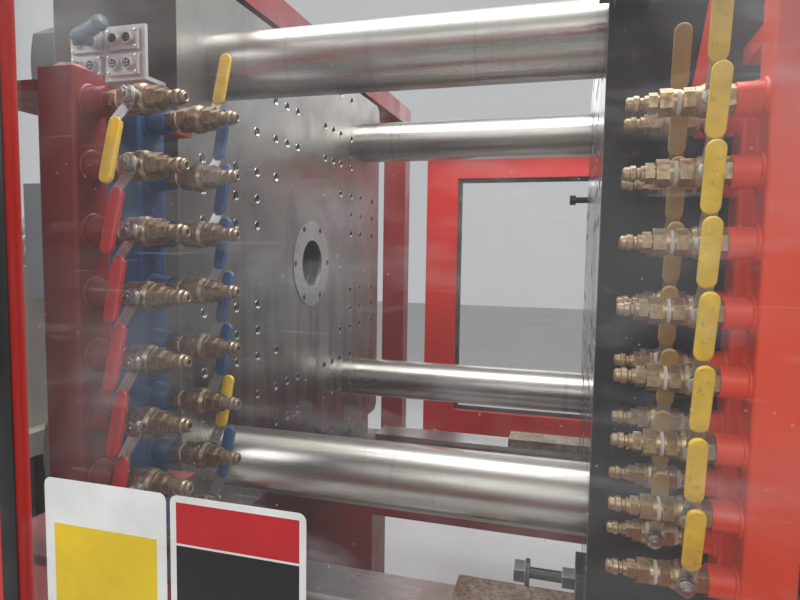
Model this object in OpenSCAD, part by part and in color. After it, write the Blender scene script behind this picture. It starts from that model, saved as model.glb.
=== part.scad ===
/* [Machine] */
// Length of the welded base
machine_len = 4800; // [4600:10:5200]
// Length of the injection side, from the base's end to the mould face
injection_len = 2610; // [2560:10:2800]
// Height of the machine's centre line above the floor
centre_h = 1300; // [1250:5:1400]
// Width of the welded base
base_w = 960; // [900:10:1040]
// Height of the bed's top above the floor
bed_h = 770; // [740:5:780]
// Thickness of the base's side beams
beam_t = 130; // [100:5:150]
// Radius of a levelling foot
foot_r = 70; // [55:1:80]

/* [Clamp] */
// Diameter of a tie bar
bar_d = 108; // [90:1:112]
// Spacing of the tie bars across the machine
bar_pitch_y = 734.6; // [720:0.2:750]
// Spacing of the tie bars up the machine
bar_pitch_z = 680; // [670:1:690]
// Width of the platens
platen_w = 990; // [970:1:1000]
// Height of the platens
platen_h = 936; // [930:1:950]
// Thickness of the fixed platen
fixed_t = 230; // [200:1:240]
// Thickness of the moving platen
moving_t = 230; // [200:1:240]
// Thickness of the clamp platen
clamp_t = 240; // [200:1:250]
// Gap between the two mould faces at rest
daylight = 620; // [600:1:640]
// Gap behind the moving platen at rest
back_room = 450; // [440:1:470]
// Diameter of the clamp ram
ram_d = 260; // [220:1:280]
// How far the moving platen closes from its rest
close_stroke = 400; // [340:5:440]
// How far the moving platen opens from its rest
open_stroke = 150; // [100:5:180]
// Outer diameter of the clamp cylinder
cylinder_d = 420; // [400:1:450]
// Bore of the clamp cylinder
cylinder_bore = 300; // [290:1:320]
// Thickness of the clamp cylinder's end cap
cap_t = 35; // [25:1:60]
// Across-flats size of a tie bar nut
nut_af = 180; // [160:1:200]
// Thickness of a tie bar nut
nut_t = 90; // [70:1:100]

/* [Locating ring and tapped holes] */
// Outer diameter of the locating ring
ring_d = 196.85; // [190:0.05:200]
// Bore of the locating ring
ring_bore = 101.6; // [95:0.1:105]
// Depth of the locating ring's seat
ring_t = 25; // [18:1:30]
// Pitch circle of the ring's screws
ring_pcd = 177.8; // [170:0.1:180]
// Diameter of a ring screw's head
ring_head_d = 14; // [10:0.5:15]
// Diameter of a tapped hole
tap_d = 16.8; // [14:0.1:20]
// Depth of a tapped hole
tap_depth = 45; // [30:1:60]

/* [Cooling manifolds] */
// Pitch of the valves up a manifold
valve_pitch = 70; // [68:0.5:72]
// Size of a manifold's square tube
header_w = 50; // [40:1:54]
// Width of a handle's grip
grip_w = 22; // [16:1:24]
// Length of a handle's grip
grip_len = 64; // [50:1:68]
// Across-flats size of a valve's hex ends
valve_af = 27; // [22:0.5:30]

/* [Sliding gates] */
// Distance from the centre line to a gate's inner face
gate_y = 862; // [858:1:870]
// Thickness of a gate's frame
gate_t = 28; // [26:1:34]
// Thickness of a gate's window
pane_t = 6; // [4:0.5:8]
// Width of a gate's window
pane_w = 900; // [860:1:920]
// How far a gate handle stands out from the gate
handle_out = 50; // [40:1:60]

/* [Injection unit] */
// Outer diameter of the barrel
barrel_d = 150; // [130:1:160]
// Length of the barrel
barrel_len = 1280; // [1260:1:1300]
// Diameter of the screw
screw_d = 70; // [60:1:80]
// Pitch of the screw's flight
flight_pitch = 70; // [60:1:80]
// Number of heater bands
band_count = 5; // [3:1:5]
// Radius of the hopper
hopper_r = 220; // [200:1:240]

/* [Hidden] */
$fn = 64;

inch = 25.4;
running = 0.05;
valve_count = 8;
face_x = injection_len - machine_len / 2;
half_w = platen_w / 2;
half_h = platen_h / 2;
bar_r = bar_d / 2;
bed_z = bed_h - centre_h;
moving_x = daylight;
moving_back = moving_x + moving_t;
clamp_x = moving_back + back_room;
clamp_back = clamp_x + clamp_t;
fixed_back = -fixed_t;
left_end = -injection_len;
right_end = machine_len - injection_len;
floor_z = -centre_h;

platen_red = [0.62, 0.08, 0.07];
bright_red = [0.85, 0.13, 0.08];
steel = [0.56, 0.55, 0.52];
dark_steel = [0.13, 0.13, 0.14];
brass = [0.62, 0.50, 0.28];

// Everything below is drawn from the centre of the fixed platen's mould face.
module at_face() {
    translate([face_x, 0, centre_h]) children();
}

module box(x0, x1, y0, y1, z0, z1) {
    translate([x0, y0, z0]) cube([x1 - x0, y1 - y0, z1 - z0]);
}

module rod_x(x0, x1, r) {
    translate([x0, 0, 0]) rotate([0, 90, 0]) cylinder(h = x1 - x0, r = r);
}

module rod_y(y0, y1, r) {
    translate([0, y0, 0]) rotate([-90, 0, 0]) cylinder(h = y1 - y0, r = r);
}

module hex_x(x0, x1, af) {
    translate([x0, 0, 0]) rotate([0, 90, 0]) cylinder(h = x1 - x0, r = af / 2 / cos(30), $fn = 6);
}

// A square outline with true round corners.
module round_square(w, h, r) {
    square([w - 2 * r, h], center = true);
    square([w, h - 2 * r], center = true);
    for (sy = [-1, 1], sz = [-1, 1]) {
        translate([sy * (w / 2 - r), sz * (h / 2 - r)]) circle(r = r);
    }
}

// A plate square to the tie bars, from x0 to x1.
module plate_x(x0, x1, w, h, r) {
    translate([x0, 0, 0]) rotate([90, 0, 90]) linear_extrude(x1 - x0) round_square(w, h, r);
}

module at_bars() {
    for (sy = [-1, 1], sz = [-1, 1]) {
        translate([0, sy * bar_pitch_y / 2, sz * bar_pitch_z / 2]) children();
    }
}

// Tapped hole places in one quarter of a platen, in whole inches.
near_steps = [3, 5, 7];
far_steps = [10, 13, 17];
side_taps = [for (a = far_steps, b = near_steps) [a, b]];
end_taps = [for (a = near_steps, b = far_steps) [a, b]];
corner_taps = [[7, 7], [10, 10], [10, 13], [10, 17]];
taps = concat(side_taps, end_taps, corner_taps);

// Blind tapped holes that open on the plane x = face and run towards dir.
module tap_grid(face, dir) {
    for (p = taps, sy = [-1, 1], sz = [-1, 1]) {
        translate([face, sy * p[0] * inch, sz * p[1] * inch]) rotate([0, 90 * dir, 0]) {
            translate([0, 0, -1]) cylinder(h = tap_depth + 1, d = tap_d, $fn = 24);
        }
    }
}

pocket_r = 30;
pocket_wall = 30;

// Four cast pockets in a platen's back, on the plane x = face and cut towards dir.
module pockets(face, dir, depth, keep_r) {
    reach_y = half_w - pocket_wall;
    reach_z = half_h - pocket_wall;
    low = keep_r + pocket_wall / 2;
    wide_y = bar_pitch_y / 2 - nut_af * 0.6 - 20;
    wide_z = bar_pitch_z / 2 - nut_af * 0.6 - 20;
    x0 = min(face + dir, face - dir * depth);
    for (s = [-1, 1]) {
        translate([0, 0, s * (low + reach_z) / 2]) plate_x(x0, x0 + depth + 1, 2 * wide_y, reach_z - low, pocket_r);
        translate([0, s * (low + reach_y) / 2, 0]) plate_x(x0, x0 + depth + 1, reach_y - low, 2 * wide_z, pocket_r);
    }
}

corner_r = 30;
nozzle_hole_r = ring_bore / 2 - 3;
cone_back_r = 165;
cone_len = fixed_t - ring_t - 40;
pad_w = 150;
fixed_pocket = 110;
moving_pocket = 110;
clamp_pocket = 130;

module fixed_platen() color(steel) at_face() {
    difference() {
        union() {
            plate_x(fixed_back, 0, platen_w, platen_h, corner_r);
            for (s = [-1, 1]) {
                box(fixed_back + 20, -20, s * (half_w - pad_w / 2 - 20) - pad_w / 2,
                    s * (half_w - pad_w / 2 - 20) + pad_w / 2, bed_z, -half_h + 10);
            }
        }
        at_bars() rod_x(fixed_back - 1, 1, bar_r + running);
        rod_x(-ring_t, 1, ring_d / 2);
        rod_x(fixed_back - 1, 1, nozzle_hole_r);
        translate([fixed_back - 0.01, 0, 0]) rotate([0, 90, 0])
            cylinder(h = cone_len, r1 = cone_back_r, r2 = nozzle_hole_r);
        tap_grid(0, -1);
        pockets(fixed_back, -1, fixed_pocket, cone_back_r + pad_w / 2);
        for (a = [0:60:300]) {
            rotate([a, 0, 0]) translate([0, ring_pcd / 2, 0]) rod_x(-ring_t - 30, 0, ring_head_d / 4);
        }
    }
}

head_depth = 8;
ring_proud = 1.5;

module locating_ring() color([0.66, 0.65, 0.62]) at_face() {
    difference() {
        rod_x(-ring_t, ring_proud, ring_d / 2);
        rod_x(-ring_t - 1, ring_proud + 1, ring_bore / 2);
        translate([-4, 0, 0]) rotate([0, 90, 0])
            cylinder(h = ring_proud + 4.01, r1 = ring_bore / 2, r2 = ring_bore / 2 + 3);
        for (a = [0:60:300]) rotate([a, 0, 0]) translate([0, ring_pcd / 2, 0]) {
            rod_x(ring_proud - head_depth - 1, ring_proud + 1, ring_head_d / 2);
            rod_x(-ring_t - 1, ring_proud, ring_head_d / 4);
        }
    }
}

module ring_screws() color(dark_steel) at_face() {
    for (a = [0:60:300]) rotate([a, 0, 0]) translate([0, ring_pcd / 2, 0]) difference() {
        union() {
            rod_x(ring_proud - head_depth - 1, ring_proud - 1, ring_head_d / 2 - running);
            rod_x(-ring_t - 25, ring_proud - head_depth, ring_head_d / 4 - running);
        }
        hex_x(ring_proud - 5, ring_proud, ring_head_d * 0.42);
    }
}

bar_tail = nut_t + 30;

module tie_bars() color([0.60, 0.60, 0.58]) at_face() {
    at_bars() difference() {
        union() {
            rod_x(fixed_back - bar_tail + 4, clamp_back + bar_tail - 4, bar_r);
            translate([clamp_back + bar_tail - 4, 0, 0]) rotate([0, 90, 0])
                cylinder(h = 4, r1 = bar_r, r2 = bar_r - 4);
            translate([fixed_back - bar_tail, 0, 0]) rotate([0, 90, 0])
                cylinder(h = 4, r1 = bar_r - 4, r2 = bar_r);
        }
        rod_x(clamp_back + bar_tail - 35, clamp_back + bar_tail + 1, 9);
        rod_x(fixed_back - bar_tail - 1, fixed_back - bar_tail + 35, 9);
    }
}

// A hexagon nut with its corners turned down, from x0 to x0 + t.
module bar_nut(x0, t) {
    difference() {
        intersection() {
            hex_x(x0, x0 + t, nut_af);
            union() {
                translate([x0, 0, 0]) rotate([0, 90, 0])
                    cylinder(h = 8, r1 = nut_af / 2 - 1, r2 = nut_af / 2 + 15);
                rod_x(x0 + 8, x0 + t - 8, nut_af / 2 + 15);
                translate([x0 + t - 8, 0, 0]) rotate([0, 90, 0])
                    cylinder(h = 8, r1 = nut_af / 2 + 15, r2 = nut_af / 2 - 1);
            }
        }
        rod_x(x0 - 1, x0 + t + 1, bar_r + running);
    }
}

lock_nut_t = 50;

module tie_bar_nuts() color(dark_steel) at_face() {
    at_bars() {
        bar_nut(fixed_back - nut_t, nut_t);
        bar_nut(clamp_back, nut_t);
        bar_nut(clamp_x - lock_nut_t, lock_nut_t);
    }
}

gland_out = 60;
gland_r = 190;
bore_gap = 5;
flange_r = 265;
flange_t = 40;
cushion = 10;
piston_t = 40;
cylinder_len = cushion + close_stroke + piston_t + open_stroke + cushion + cap_t;
ram_len = clamp_back - moving_back + cushion + close_stroke + piston_t;
flange_bolts = 12;
bolt_pcr = 238;

module clamp_platen() color(platen_red) at_face() {
    difference() {
        union() {
            plate_x(clamp_x, clamp_back, platen_w, platen_h, corner_r);
            for (s = [-1, 1]) {
                box(clamp_x + 20, clamp_back - 20, s * (half_w - pad_w / 2 - 20) - pad_w / 2,
                    s * (half_w - pad_w / 2 - 20) + pad_w / 2, bed_z, -half_h + 10);
            }
        }
        at_bars() rod_x(clamp_x - 1, clamp_back + 1, bar_r + running);
        rod_x(clamp_x - 1, clamp_back + 1, ram_d / 2 + bore_gap);
        pockets(clamp_back, 1, clamp_pocket, flange_r);
    }
}

module clamp_cylinder() color([0.30, 0.31, 0.33]) at_face() {
    difference() {
        union() {
            rod_x(clamp_back, clamp_back + cylinder_len, cylinder_d / 2);
            rod_x(clamp_back, clamp_back + flange_t, flange_r);
            rod_x(clamp_back + cylinder_len - flange_t, clamp_back + cylinder_len, cylinder_d / 2 + 20);
            for (a = [0:360 / flange_bolts:359]) rotate([a, 0, 0]) {
                translate([0, bolt_pcr, 0]) hex_x(clamp_back + flange_t - 1, clamp_back + flange_t + 19, 36);
            }
            for (x = [clamp_back + 100, clamp_back + cylinder_len - 100]) {
                translate([x, 0, cylinder_d / 2 - 20]) cylinder(h = 60, r = 34);
            }
        }
        rod_x(clamp_back - 1, clamp_back + cylinder_len - cap_t, cylinder_bore / 2);
        for (x = [clamp_back + 100, clamp_back + cylinder_len - 100]) {
            translate([x, 0, cylinder_d / 2]) cylinder(h = 60, r = 18);
        }
    }
    difference() {
        union() {
            rod_x(clamp_x - gland_out, clamp_x, gland_r);
            for (a = [15:30:345]) rotate([a, 0, 0]) {
                translate([0, gland_r - 22, 0]) hex_x(clamp_x - gland_out - 14, clamp_x - gland_out + 1, 24);
            }
        }
        rod_x(clamp_x - gland_out - 20, clamp_x + 1, ram_d / 2 + running);
    }
}

ram_flange_r = 175;
ram_flange_t = 45;

module clamp_ram() color([0.70, 0.70, 0.70]) at_face() {
    rod_x(moving_back, moving_back + ram_len, ram_d / 2);
    rod_x(moving_back + ram_len - piston_t, moving_back + ram_len, cylinder_bore / 2 - 1);
    rod_x(moving_back, moving_back + ram_flange_t, ram_flange_r);
    for (a = [0:45:315]) rotate([a, 0, 0]) {
        translate([0, ram_flange_r - 20, 0]) hex_x(moving_back + ram_flange_t - 1, moving_back + ram_flange_t + 18, 30);
    }
}

ejector_r = 203.2;
ejector_rod_r = 15;
bush_wall = 6;

module moving_platen() color(dark_steel) at_face() {
    difference() {
        plate_x(moving_x, moving_back, platen_w, platen_h, corner_r);
        at_bars() rod_x(moving_x - 1, moving_back + 1, bar_r + bush_wall);
        tap_grid(moving_x, 1);
        pockets(moving_back, 1, moving_pocket, ejector_r + ejector_rod_r + 20);
        for (a = [0:90:270]) rotate([a, 0, 0]) {
            translate([0, ejector_r, 0]) rod_x(moving_x - 1, moving_back + 1, ejector_rod_r + running);
        }
    }
}

bush_flange_t = 22;

module platen_bushes() color([0.55, 0.42, 0.25]) at_face() {
    at_bars() difference() {
        union() {
            rod_x(moving_x + 2, moving_back, bar_r + bush_wall);
            rod_x(moving_back, moving_back + bush_flange_t, bar_r + 32);
            for (a = [0:60:300]) rotate([a + 30, 0, 0]) {
                translate([0, bar_r + 20, 0]) hex_x(moving_back + bush_flange_t - 1, moving_back + bush_flange_t + 8, 14);
            }
        }
        rod_x(moving_x - 1, moving_back + bush_flange_t + 20, bar_r + running);
    }
}

way_h = 20;
shoe_t = 22;
shoe_block_h = 20;
way_top = -half_h - shoe_block_h - shoe_t;
way_seat = way_top - way_h;
way_w = 90;
way_y = base_w / 2 - beam_t / 2;
way_x0 = 40;
way_x1 = clamp_x - 30;
shoe_len = 420;
shoe_w = 80;
shoe_gap = 0.3;
rail_w = 45;
rail_h = 40;
rail_y = 300;

module bed_ways() color([0.62, 0.62, 0.60]) at_face() {
    for (s = [-1, 1]) {
        box(way_x0, way_x1, s * way_y - way_w / 2, s * way_y + way_w / 2, min(way_seat, bed_z), way_top);
        box(left_end + 150, fixed_back - 250, s * way_y - rail_w / 2, s * way_y + rail_w / 2,
            bed_z, bed_z + rail_h);
    }
}

module platen_shoes() color([0.35, 0.30, 0.22]) at_face() {
    for (s = [-1, 1]) {
        y = s * way_y;
        box(moving_x + 10, moving_back - 10, y - shoe_w / 2, y + shoe_w / 2, way_top + shoe_t, -half_h);
        box(moving_back - shoe_len, moving_back + 40, y - shoe_w / 2, y + shoe_w / 2,
            way_top + shoe_gap, way_top + shoe_t);
    }
}

stud_y = half_w - 63;
stud_z = 178;
rod_bracket_y = 63 - half_w;
rod_bracket_z = 32 - half_h;
side_block_z = half_h - 138;
side_block_h = 70;

module platen_fittings() color([0.20, 0.20, 0.21]) at_face() {
    translate([0, stud_y, stud_z]) {
        rod_x(moving_x - 34, moving_x, 8);
        rod_x(moving_x - 48, moving_x - 32, 13);
    }
    box(moving_x - 12, moving_x, rod_bracket_y - 35, rod_bracket_y + 35, rod_bracket_z - 25, rod_bracket_z + 25);
    translate([0, rod_bracket_y, rod_bracket_z]) {
        rod_x(moving_x - 96, moving_x - 10, 8);
        hex_x(moving_x - 30, moving_x - 11, 28);
        hex_x(moving_x - 98, moving_x - 80, 30);
        rod_x(moving_x - 82, moving_x - 76, 19);
    }
    box(moving_x + 6, moving_x + 46, -half_w - 34, -half_w, side_block_z, side_block_z + side_block_h);
    for (z = [side_block_z + 15, side_block_z + side_block_h - 15]) translate([0, -half_w - 17, z]) {
        hex_x(moving_x - 12, moving_x + 7, 20);
        rod_x(moving_x - 26, moving_x - 11, 6);
    }
}

plate_out = 150;
plate_t = 35;
plate_r_in = 182;
plate_r_out = 250;
rod_hide = 20;

module ejector_plate() color([0.45, 0.45, 0.46]) at_face() {
    difference() {
        rod_x(moving_back + plate_out, moving_back + plate_out + plate_t, plate_r_out);
        rod_x(moving_back + plate_out - 1, moving_back + plate_out + plate_t + 1, plate_r_in);
    }
    for (a = [0:90:270]) rotate([a, 0, 0]) translate([0, ejector_r, 0]) {
        rod_x(moving_x + rod_hide, moving_back + plate_out + 1, ejector_rod_r);
        hex_x(moving_back + plate_out + plate_t - 1, moving_back + plate_out + plate_t + 16, 36);
    }
}

foot_h = 60;
beam_y0 = base_w / 2 - beam_t;
cross_t = 90;
cross_x = [left_end, left_end + 1180, fixed_back - 60, clamp_x - 20, right_end - cross_t];
chute_x0 = 40;
chute_len = 620;
chute_z0 = 220;
chute_h = 330;

// The base: two deep side beams tied by cross members, with a parts chute under the mould space.
module base_frame() color(platen_red) at_face() {
    difference() {
        union() {
            for (s = [-1, 1]) {
                y0 = s > 0 ? beam_y0 : -base_w / 2;
                box(left_end, right_end, y0, y0 + beam_t, floor_z + foot_h, bed_z);
            }
            for (x = cross_x) {
                box(x, x + cross_t, -beam_y0 - 1, beam_y0 + 1, floor_z + foot_h, floor_z + foot_h + 160);
                box(x, x + cross_t, -beam_y0 - 1, beam_y0 + 1, bed_z - 220, bed_z - 60);
            }
        }
        box(chute_x0, chute_x0 + chute_len, -base_w, base_w, floor_z + chute_z0, floor_z + chute_z0 + chute_h);
        for (x = [left_end + 300, left_end + 1400, clamp_x + 60], s = [-1, 1]) {
            y0 = s > 0 ? base_w / 2 - 25 : -base_w / 2 - 25;
            box(x, x + 560, y0, y0 + 50, floor_z + chute_z0, floor_z + chute_z0 + chute_h);
        }
        for (x = foot_x, s = [-1, 1]) translate([x, s * way_y, floor_z + foot_h - 1]) {
            cylinder(h = foot_bore_h + 1, r = foot_stud_r);
        }
        if (way_seat < bed_z) {
            for (s = [-1, 1]) box(way_x0, way_x1, s * way_y - way_w / 2, s * way_y + way_w / 2, way_seat, bed_z + 1);
        }
    }
}

foot_stud_r = 12;
foot_bore_h = 60;
foot_count = 6;
foot_inset = 120;
foot_step = (machine_len - 2 * foot_inset) / (foot_count - 1);
foot_x = [for (i = [0:foot_count - 1]) left_end + foot_inset + i * foot_step];
foot_pad_t = 22;
foot_cone_t = 12;
foot_nut_t = 20;

module levelling_feet() color([0.15, 0.15, 0.15]) at_face() {
    for (x = foot_x, s = [-1, 1]) translate([x, s * way_y, floor_z]) {
        cylinder(h = foot_pad_t, r = foot_r);
        translate([0, 0, foot_pad_t]) cylinder(h = foot_cone_t, r1 = foot_r, r2 = foot_stud_r * 2.5);
        translate([0, 0, foot_pad_t + 8]) cylinder(h = foot_h - foot_pad_t + foot_bore_h - 18, r = foot_stud_r - running);
        translate([0, 0, foot_h - foot_nut_t]) cylinder(h = foot_nut_t, r = foot_stud_r * 1.75, $fn = 6);
    }
}

tank_in = 200;
tank_len = 880;
tank_h = 320;
tank_lift = 110;
tank_gap = 20;
motor_y = -120;
motor_r = 90;
motor_body_len = 330;
pump_r = 60;
pump_len = 150;
lug_h = 40;

// The oil tank between the side beams, on lugs, with its motor and pump on top.
module oil_tank() color([0.25, 0.27, 0.30]) at_face() {
    x0 = left_end + tank_in;
    z0 = floor_z + foot_h + tank_lift;
    z1 = z0 + tank_h;
    axis_z = z1 + motor_r;
    box(x0, x0 + tank_len, -beam_y0 + tank_gap, beam_y0 - tank_gap, z0, z1);
    translate([x0 + 180, motor_y, axis_z]) {
        rod_x(0, motor_body_len, motor_r);
        rod_x(-40, 1, motor_r - 14);
        rod_x(motor_body_len, motor_body_len + pump_len, pump_r);
        rod_x(motor_body_len, motor_body_len + 30, pump_r + 18);
        box(90, 210, -motor_r - 45, -motor_r + 20, -45, 45);
    }
    box(x0 + 200, x0 + 640, motor_y - pump_r, motor_y + pump_r, z1 - 1, z1 + motor_r - pump_r + 5);
    translate([x0 + 700, 180, z1 - 1]) cylinder(h = 70, r = 55);
    for (s = [-1, 1]) {
        y0 = s > 0 ? beam_y0 - tank_gap - 1 : -beam_y0;
        box(x0 + 60, x0 + tank_len - 60, y0, y0 + tank_gap + 1, z1 - 2 * lug_h, z1 - lug_h);
    }
}

post_w = 60;
post_x = 80;
post_y = gate_y - 2 - post_w;
post_mid = clamp_x + 30;
post_end = right_end - 100;
near_gate = [97, 97 + pane_w, -360, 330, 80, 80, 90, 90];
far_gate = [178, 178 + pane_w, -549, 295, 112, 100, 105, 91];
top_gap = 20;
beam_h = 70;
outrigger_z = floor_z + 600;
tie_z = half_h + 12;
tie_h = 60;

function gate_x0(g) = g[0] - g[4];
function gate_x1(g) = g[1] + g[5];
function gate_z0(g) = g[2] - g[7];
function gate_z1(g) = g[3] + g[6];

seat_gap = 0.3;
bay_x = [[0, post_mid], [post_mid + post_x, post_end]];

// One side of the guard, on the +Y side: posts with outriggers, beams between them, track and guide.
module guard_side(g) {
    top = gate_z1(g) + top_gap;
    low = gate_z0(g) - top_gap - beam_h;
    foot = min(low, outrigger_z);
    for (x = [-post_x, post_mid, post_end]) {
        box(x, x + post_x, post_y, post_y + post_w, foot, tie_z + tie_h);
        box(x, x + post_x, base_w / 2, post_y + 1, outrigger_z, outrigger_z + tie_h);
    }
    for (bay = bay_x, z = [top, low]) {
        box(bay[0] + seat_gap, bay[1] - seat_gap, post_y, post_y + post_w, z, z + beam_h);
    }
    rail_y0 = post_y + post_w + seat_gap;
    box(-post_x, post_end + post_x, rail_y0, gate_y + 12, top + 25, top + 45);
    box(-post_x, post_end + post_x, rail_y0, gate_y + gate_t + 4, low + 10, low + 20);
    box(-post_x, post_end + post_x, gate_y + gate_t - 4, gate_y + gate_t + 4, low + 10, low + 50);
}

module guard_frame() color(platen_red) at_face() {
    guard_side(far_gate);
    mirror([0, 1, 0]) guard_side(near_gate);
    for (x = [-post_x, post_mid, post_end]) {
        box(x, x + post_x, -post_y + seat_gap, post_y - seat_gap, tie_z, tie_z + tie_h);
    }
    guard_hinge_rod();
}

// Fixed sheet guards beside the clamp cylinder and across the machine's end.
module clamp_guards() color([0.80, 0.79, 0.75]) at_face() {
    sheet = 3;
    for (s = [-1, 1]) {
        g = s > 0 ? far_gate : near_gate;
        z0 = gate_z0(g) - top_gap;
        z1 = gate_z1(g) + top_gap;
        y = s > 0 ? post_y + 20 : -post_y - 20 - sheet;
        box(post_mid + post_x, post_end, y, y + sheet, z0, z1);
        for (x = [post_mid + post_x + 120, post_end - 160]) {
            box(x, x + 40, y - s * 10, y + sheet - s * 10, z0 + 60, z1 - 60);
            box(x, x + 4, min(y, y - s * 10), max(y, y - s * 10) + sheet, z0 + 60, z1 - 60);
            box(x + 36, x + 40, min(y, y - s * 10), max(y, y - s * 10) + sheet, z0 + 60, z1 - 60);
        }
    }
    difference() {
        box(post_end + 30, post_end + 30 + sheet, -post_y, post_y, bed_z + 5, tie_z);
        rod_x(post_end + 20, post_end + 50, cylinder_d / 2 + 30);
    }
}

gasket_w = 10;
groove = 6;
pane_y = gate_y + gate_t / 2 - pane_t / 2;

fin_h = 50;
hanger_w = 90;
hanger_lift = 0.3;

// A gate's welded frame, its two hangers on the track and its fin in the guide.
module gate_frame(g) {
    x0 = gate_x0(g);
    x1 = gate_x1(g);
    z0 = gate_z0(g);
    z1 = gate_z1(g);
    track = z1 + top_gap + 45;
    difference() {
        box(x0, x1, gate_y, gate_y + gate_t, z0, z1);
        box(g[0], g[1], gate_y - 1, gate_y + gate_t + 1, g[2], g[3]);
    }
    for (x = [x0 + 60, x1 - 60 - hanger_w]) {
        box(x, x + hanger_w, gate_y + 14, gate_y + gate_t, z1 - 1, track + 25);
        box(x, x + hanger_w, gate_y, gate_y + gate_t, track + hanger_lift, track + 25);
    }
    box(x0 + 5, x1 - 5, pane_y, pane_y + pane_t, z0 - fin_h, z0 + 1);
}

module gate_window(g) {
    difference() {
        box(g[0], g[1], pane_y - 6, pane_y + pane_t + 6, g[2], g[3]);
        box(g[0] + gasket_w, g[1] - gasket_w, pane_y - 7, pane_y + pane_t + 7, g[2] + gasket_w, g[3] - gasket_w);
        box(g[0] + gasket_w - groove, g[1] - gasket_w + groove, pane_y, pane_y + pane_t,
            g[2] + gasket_w - groove, g[3] - gasket_w + groove);
    }
    box(g[0] + gasket_w - groove, g[1] - gasket_w + groove, pane_y, pane_y + pane_t,
        g[2] + gasket_w - groove, g[3] - gasket_w + groove);
}

// A bent round-bar pull between two feet on a stile.
module gate_pull(x, z, out) {
    r = 11;
    bend = 20;
    for (s = [-1, 1]) translate([x, 0, z + s * 90]) {
        rod_y(gate_y + gate_t, gate_y + gate_t + 5, 20);
        rod_y(gate_y + gate_t + 4, gate_y + gate_t + out - bend - r, r);
    }
    for (s = [-1, 1]) translate([x, gate_y + gate_t + out - bend - r, z + s * (90 - bend)]) {
        rotate([0, 90, 0]) rotate([0, 0, s > 0 ? 90 : 0]) rotate_extrude(angle = 90) translate([bend, 0]) circle(r = r);
    }
    translate([x, gate_y + gate_t + out - r, z - 90 + bend]) cylinder(h = 180 - 2 * bend, r = r);
}

module near_gate_frame() color(bright_red) at_face() mirror([0, 1, 0]) gate_frame(near_gate);
module far_gate_frame() color(bright_red) at_face() gate_frame(far_gate);
module near_gate_window() color([0.75, 0.8, 0.82, 0.3]) at_face() mirror([0, 1, 0]) gate_window(near_gate);
module far_gate_window() color([0.75, 0.8, 0.82, 0.3]) at_face() gate_window(far_gate);

module near_gate_handle() color(dark_steel) at_face() {
    mirror([0, 1, 0]) gate_pull(gate_x0(near_gate) + 40, 0, handle_out);
}

module far_gate_handle() color(dark_steel) at_face() gate_pull(gate_x0(far_gate) + 50, 0, handle_out);

left_front_y = -750;
left_rear_y = -650;
right_front_y = -635;
right_rear_y = -535;
left_header_x = 25;
right_header_x = 762;
left_z = 188;
right_z = 184;
stub_r = 16.5;
stub_len = 27;
spacer_len = 18;
valve_len = 46;
bush_len = 24;
nipple_len = 29;
boss_h = 22;
stem_r = 4;
stem_h = 34;
hub_t = 3;
nut_h = 7;

function row_z(top, i) = top - i * valve_pitch;

// A ball valve along +X from x = 0, its stem pointing to -Y.
module ball_valve() {
    hex_x(0, 12, valve_af);
    rotate([0, 90, 0]) rotate_extrude() polygon([[0, 10], [14.5, 10], [14.5, 14], [16.6, 18], [17, 23],
        [16.6, 28], [14.5, 32], [14.5, valve_len - 10], [0, valve_len - 10]]);
    hex_x(valve_len - 12, valve_len, valve_af - 2);
    translate([valve_len / 2, 0, 0]) {
        rod_y(-boss_h, 0, 8);
        rod_y(-stem_h, -boss_h + 1, stem_r);
    }
}

// A grooved hose nipple on a hexagon, along +X from x = 0.
module hose_nipple() {
    hex_x(0, 8, 19);
    rotate([0, 90, 0]) rotate_extrude() polygon([[0, 7], [8, 7], [8, 12], [6, 13], [6, 16],
        [8.5, 17.5], [8.5, 22], [7, 23.5], [7, nipple_len - 1], [6, nipple_len], [0, nipple_len]]);
}

// A valve with a short spacer before it, from the end of its stub.
module spaced_train() {
    hex_x(0, spacer_len / 2, 22);
    rod_x(spacer_len / 2 - 1, spacer_len + 1, 10);
    translate([spacer_len, 0, 0]) ball_valve();
    translate([spacer_len + valve_len, 0, 0]) hose_nipple();
}

// A valve with a reducing bush after it, from the end of its stub.
module bushed_train() {
    ball_valve();
    rod_x(valve_len - 1, valve_len + 7, 11.5);
    rod_x(valve_len + 6, valve_len + 10, 13);
    hex_x(valve_len + 10, valve_len + bush_len - 2, 25);
    rod_x(valve_len + bush_len - 3, valve_len + bush_len + 1, 8);
    translate([valve_len + bush_len, 0, 0]) hose_nipple();
}

lever_t = 3;
neck_w = 14;
neck_len = 24;
neck_tilt = 40;
grip_tilt = 12;
grip_t = 5;

// A lever on a valve stem, its hub on the plane y = -boss_h and its grip towards +Z and -Y.
module lever() {
    translate([0, -boss_h, 0]) difference() {
        union() {
            rod_y(-hub_t, 0, 9.5);
            translate([0, -hub_t, 0]) rotate([90, 0, 0]) cylinder(h = nut_h, r = 7.5, $fn = 6);
            translate([-neck_w / 2, -hub_t, 0]) cube([neck_w, hub_t, 12]);
            translate([0, -1, 9]) rotate([neck_tilt, 0, 0]) {
                translate([-neck_w / 2, -lever_t, -1]) cube([neck_w, lever_t, neck_len]);
            }
            translate([0, -neck_len * sin(neck_tilt), 8 + neck_len * cos(neck_tilt)]) rotate([grip_tilt, 0, 0]) {
                translate([-grip_w / 2, -grip_t + 1, 0]) cube([grip_w, grip_t, grip_len - grip_w / 2]);
                translate([0, 1, grip_len - grip_w / 2]) rod_y(-grip_t, 0, grip_w / 2);
            }
        }
        rod_y(-hub_t - nut_h - 1, 1, stem_r + running);
    }
}

module header_stubs(x0, x1, z_top) {
    for (i = [0:valve_count - 1]) translate([0, 0, row_z(z_top, i)]) rod_x(x0, x1, stub_r);
}

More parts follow.
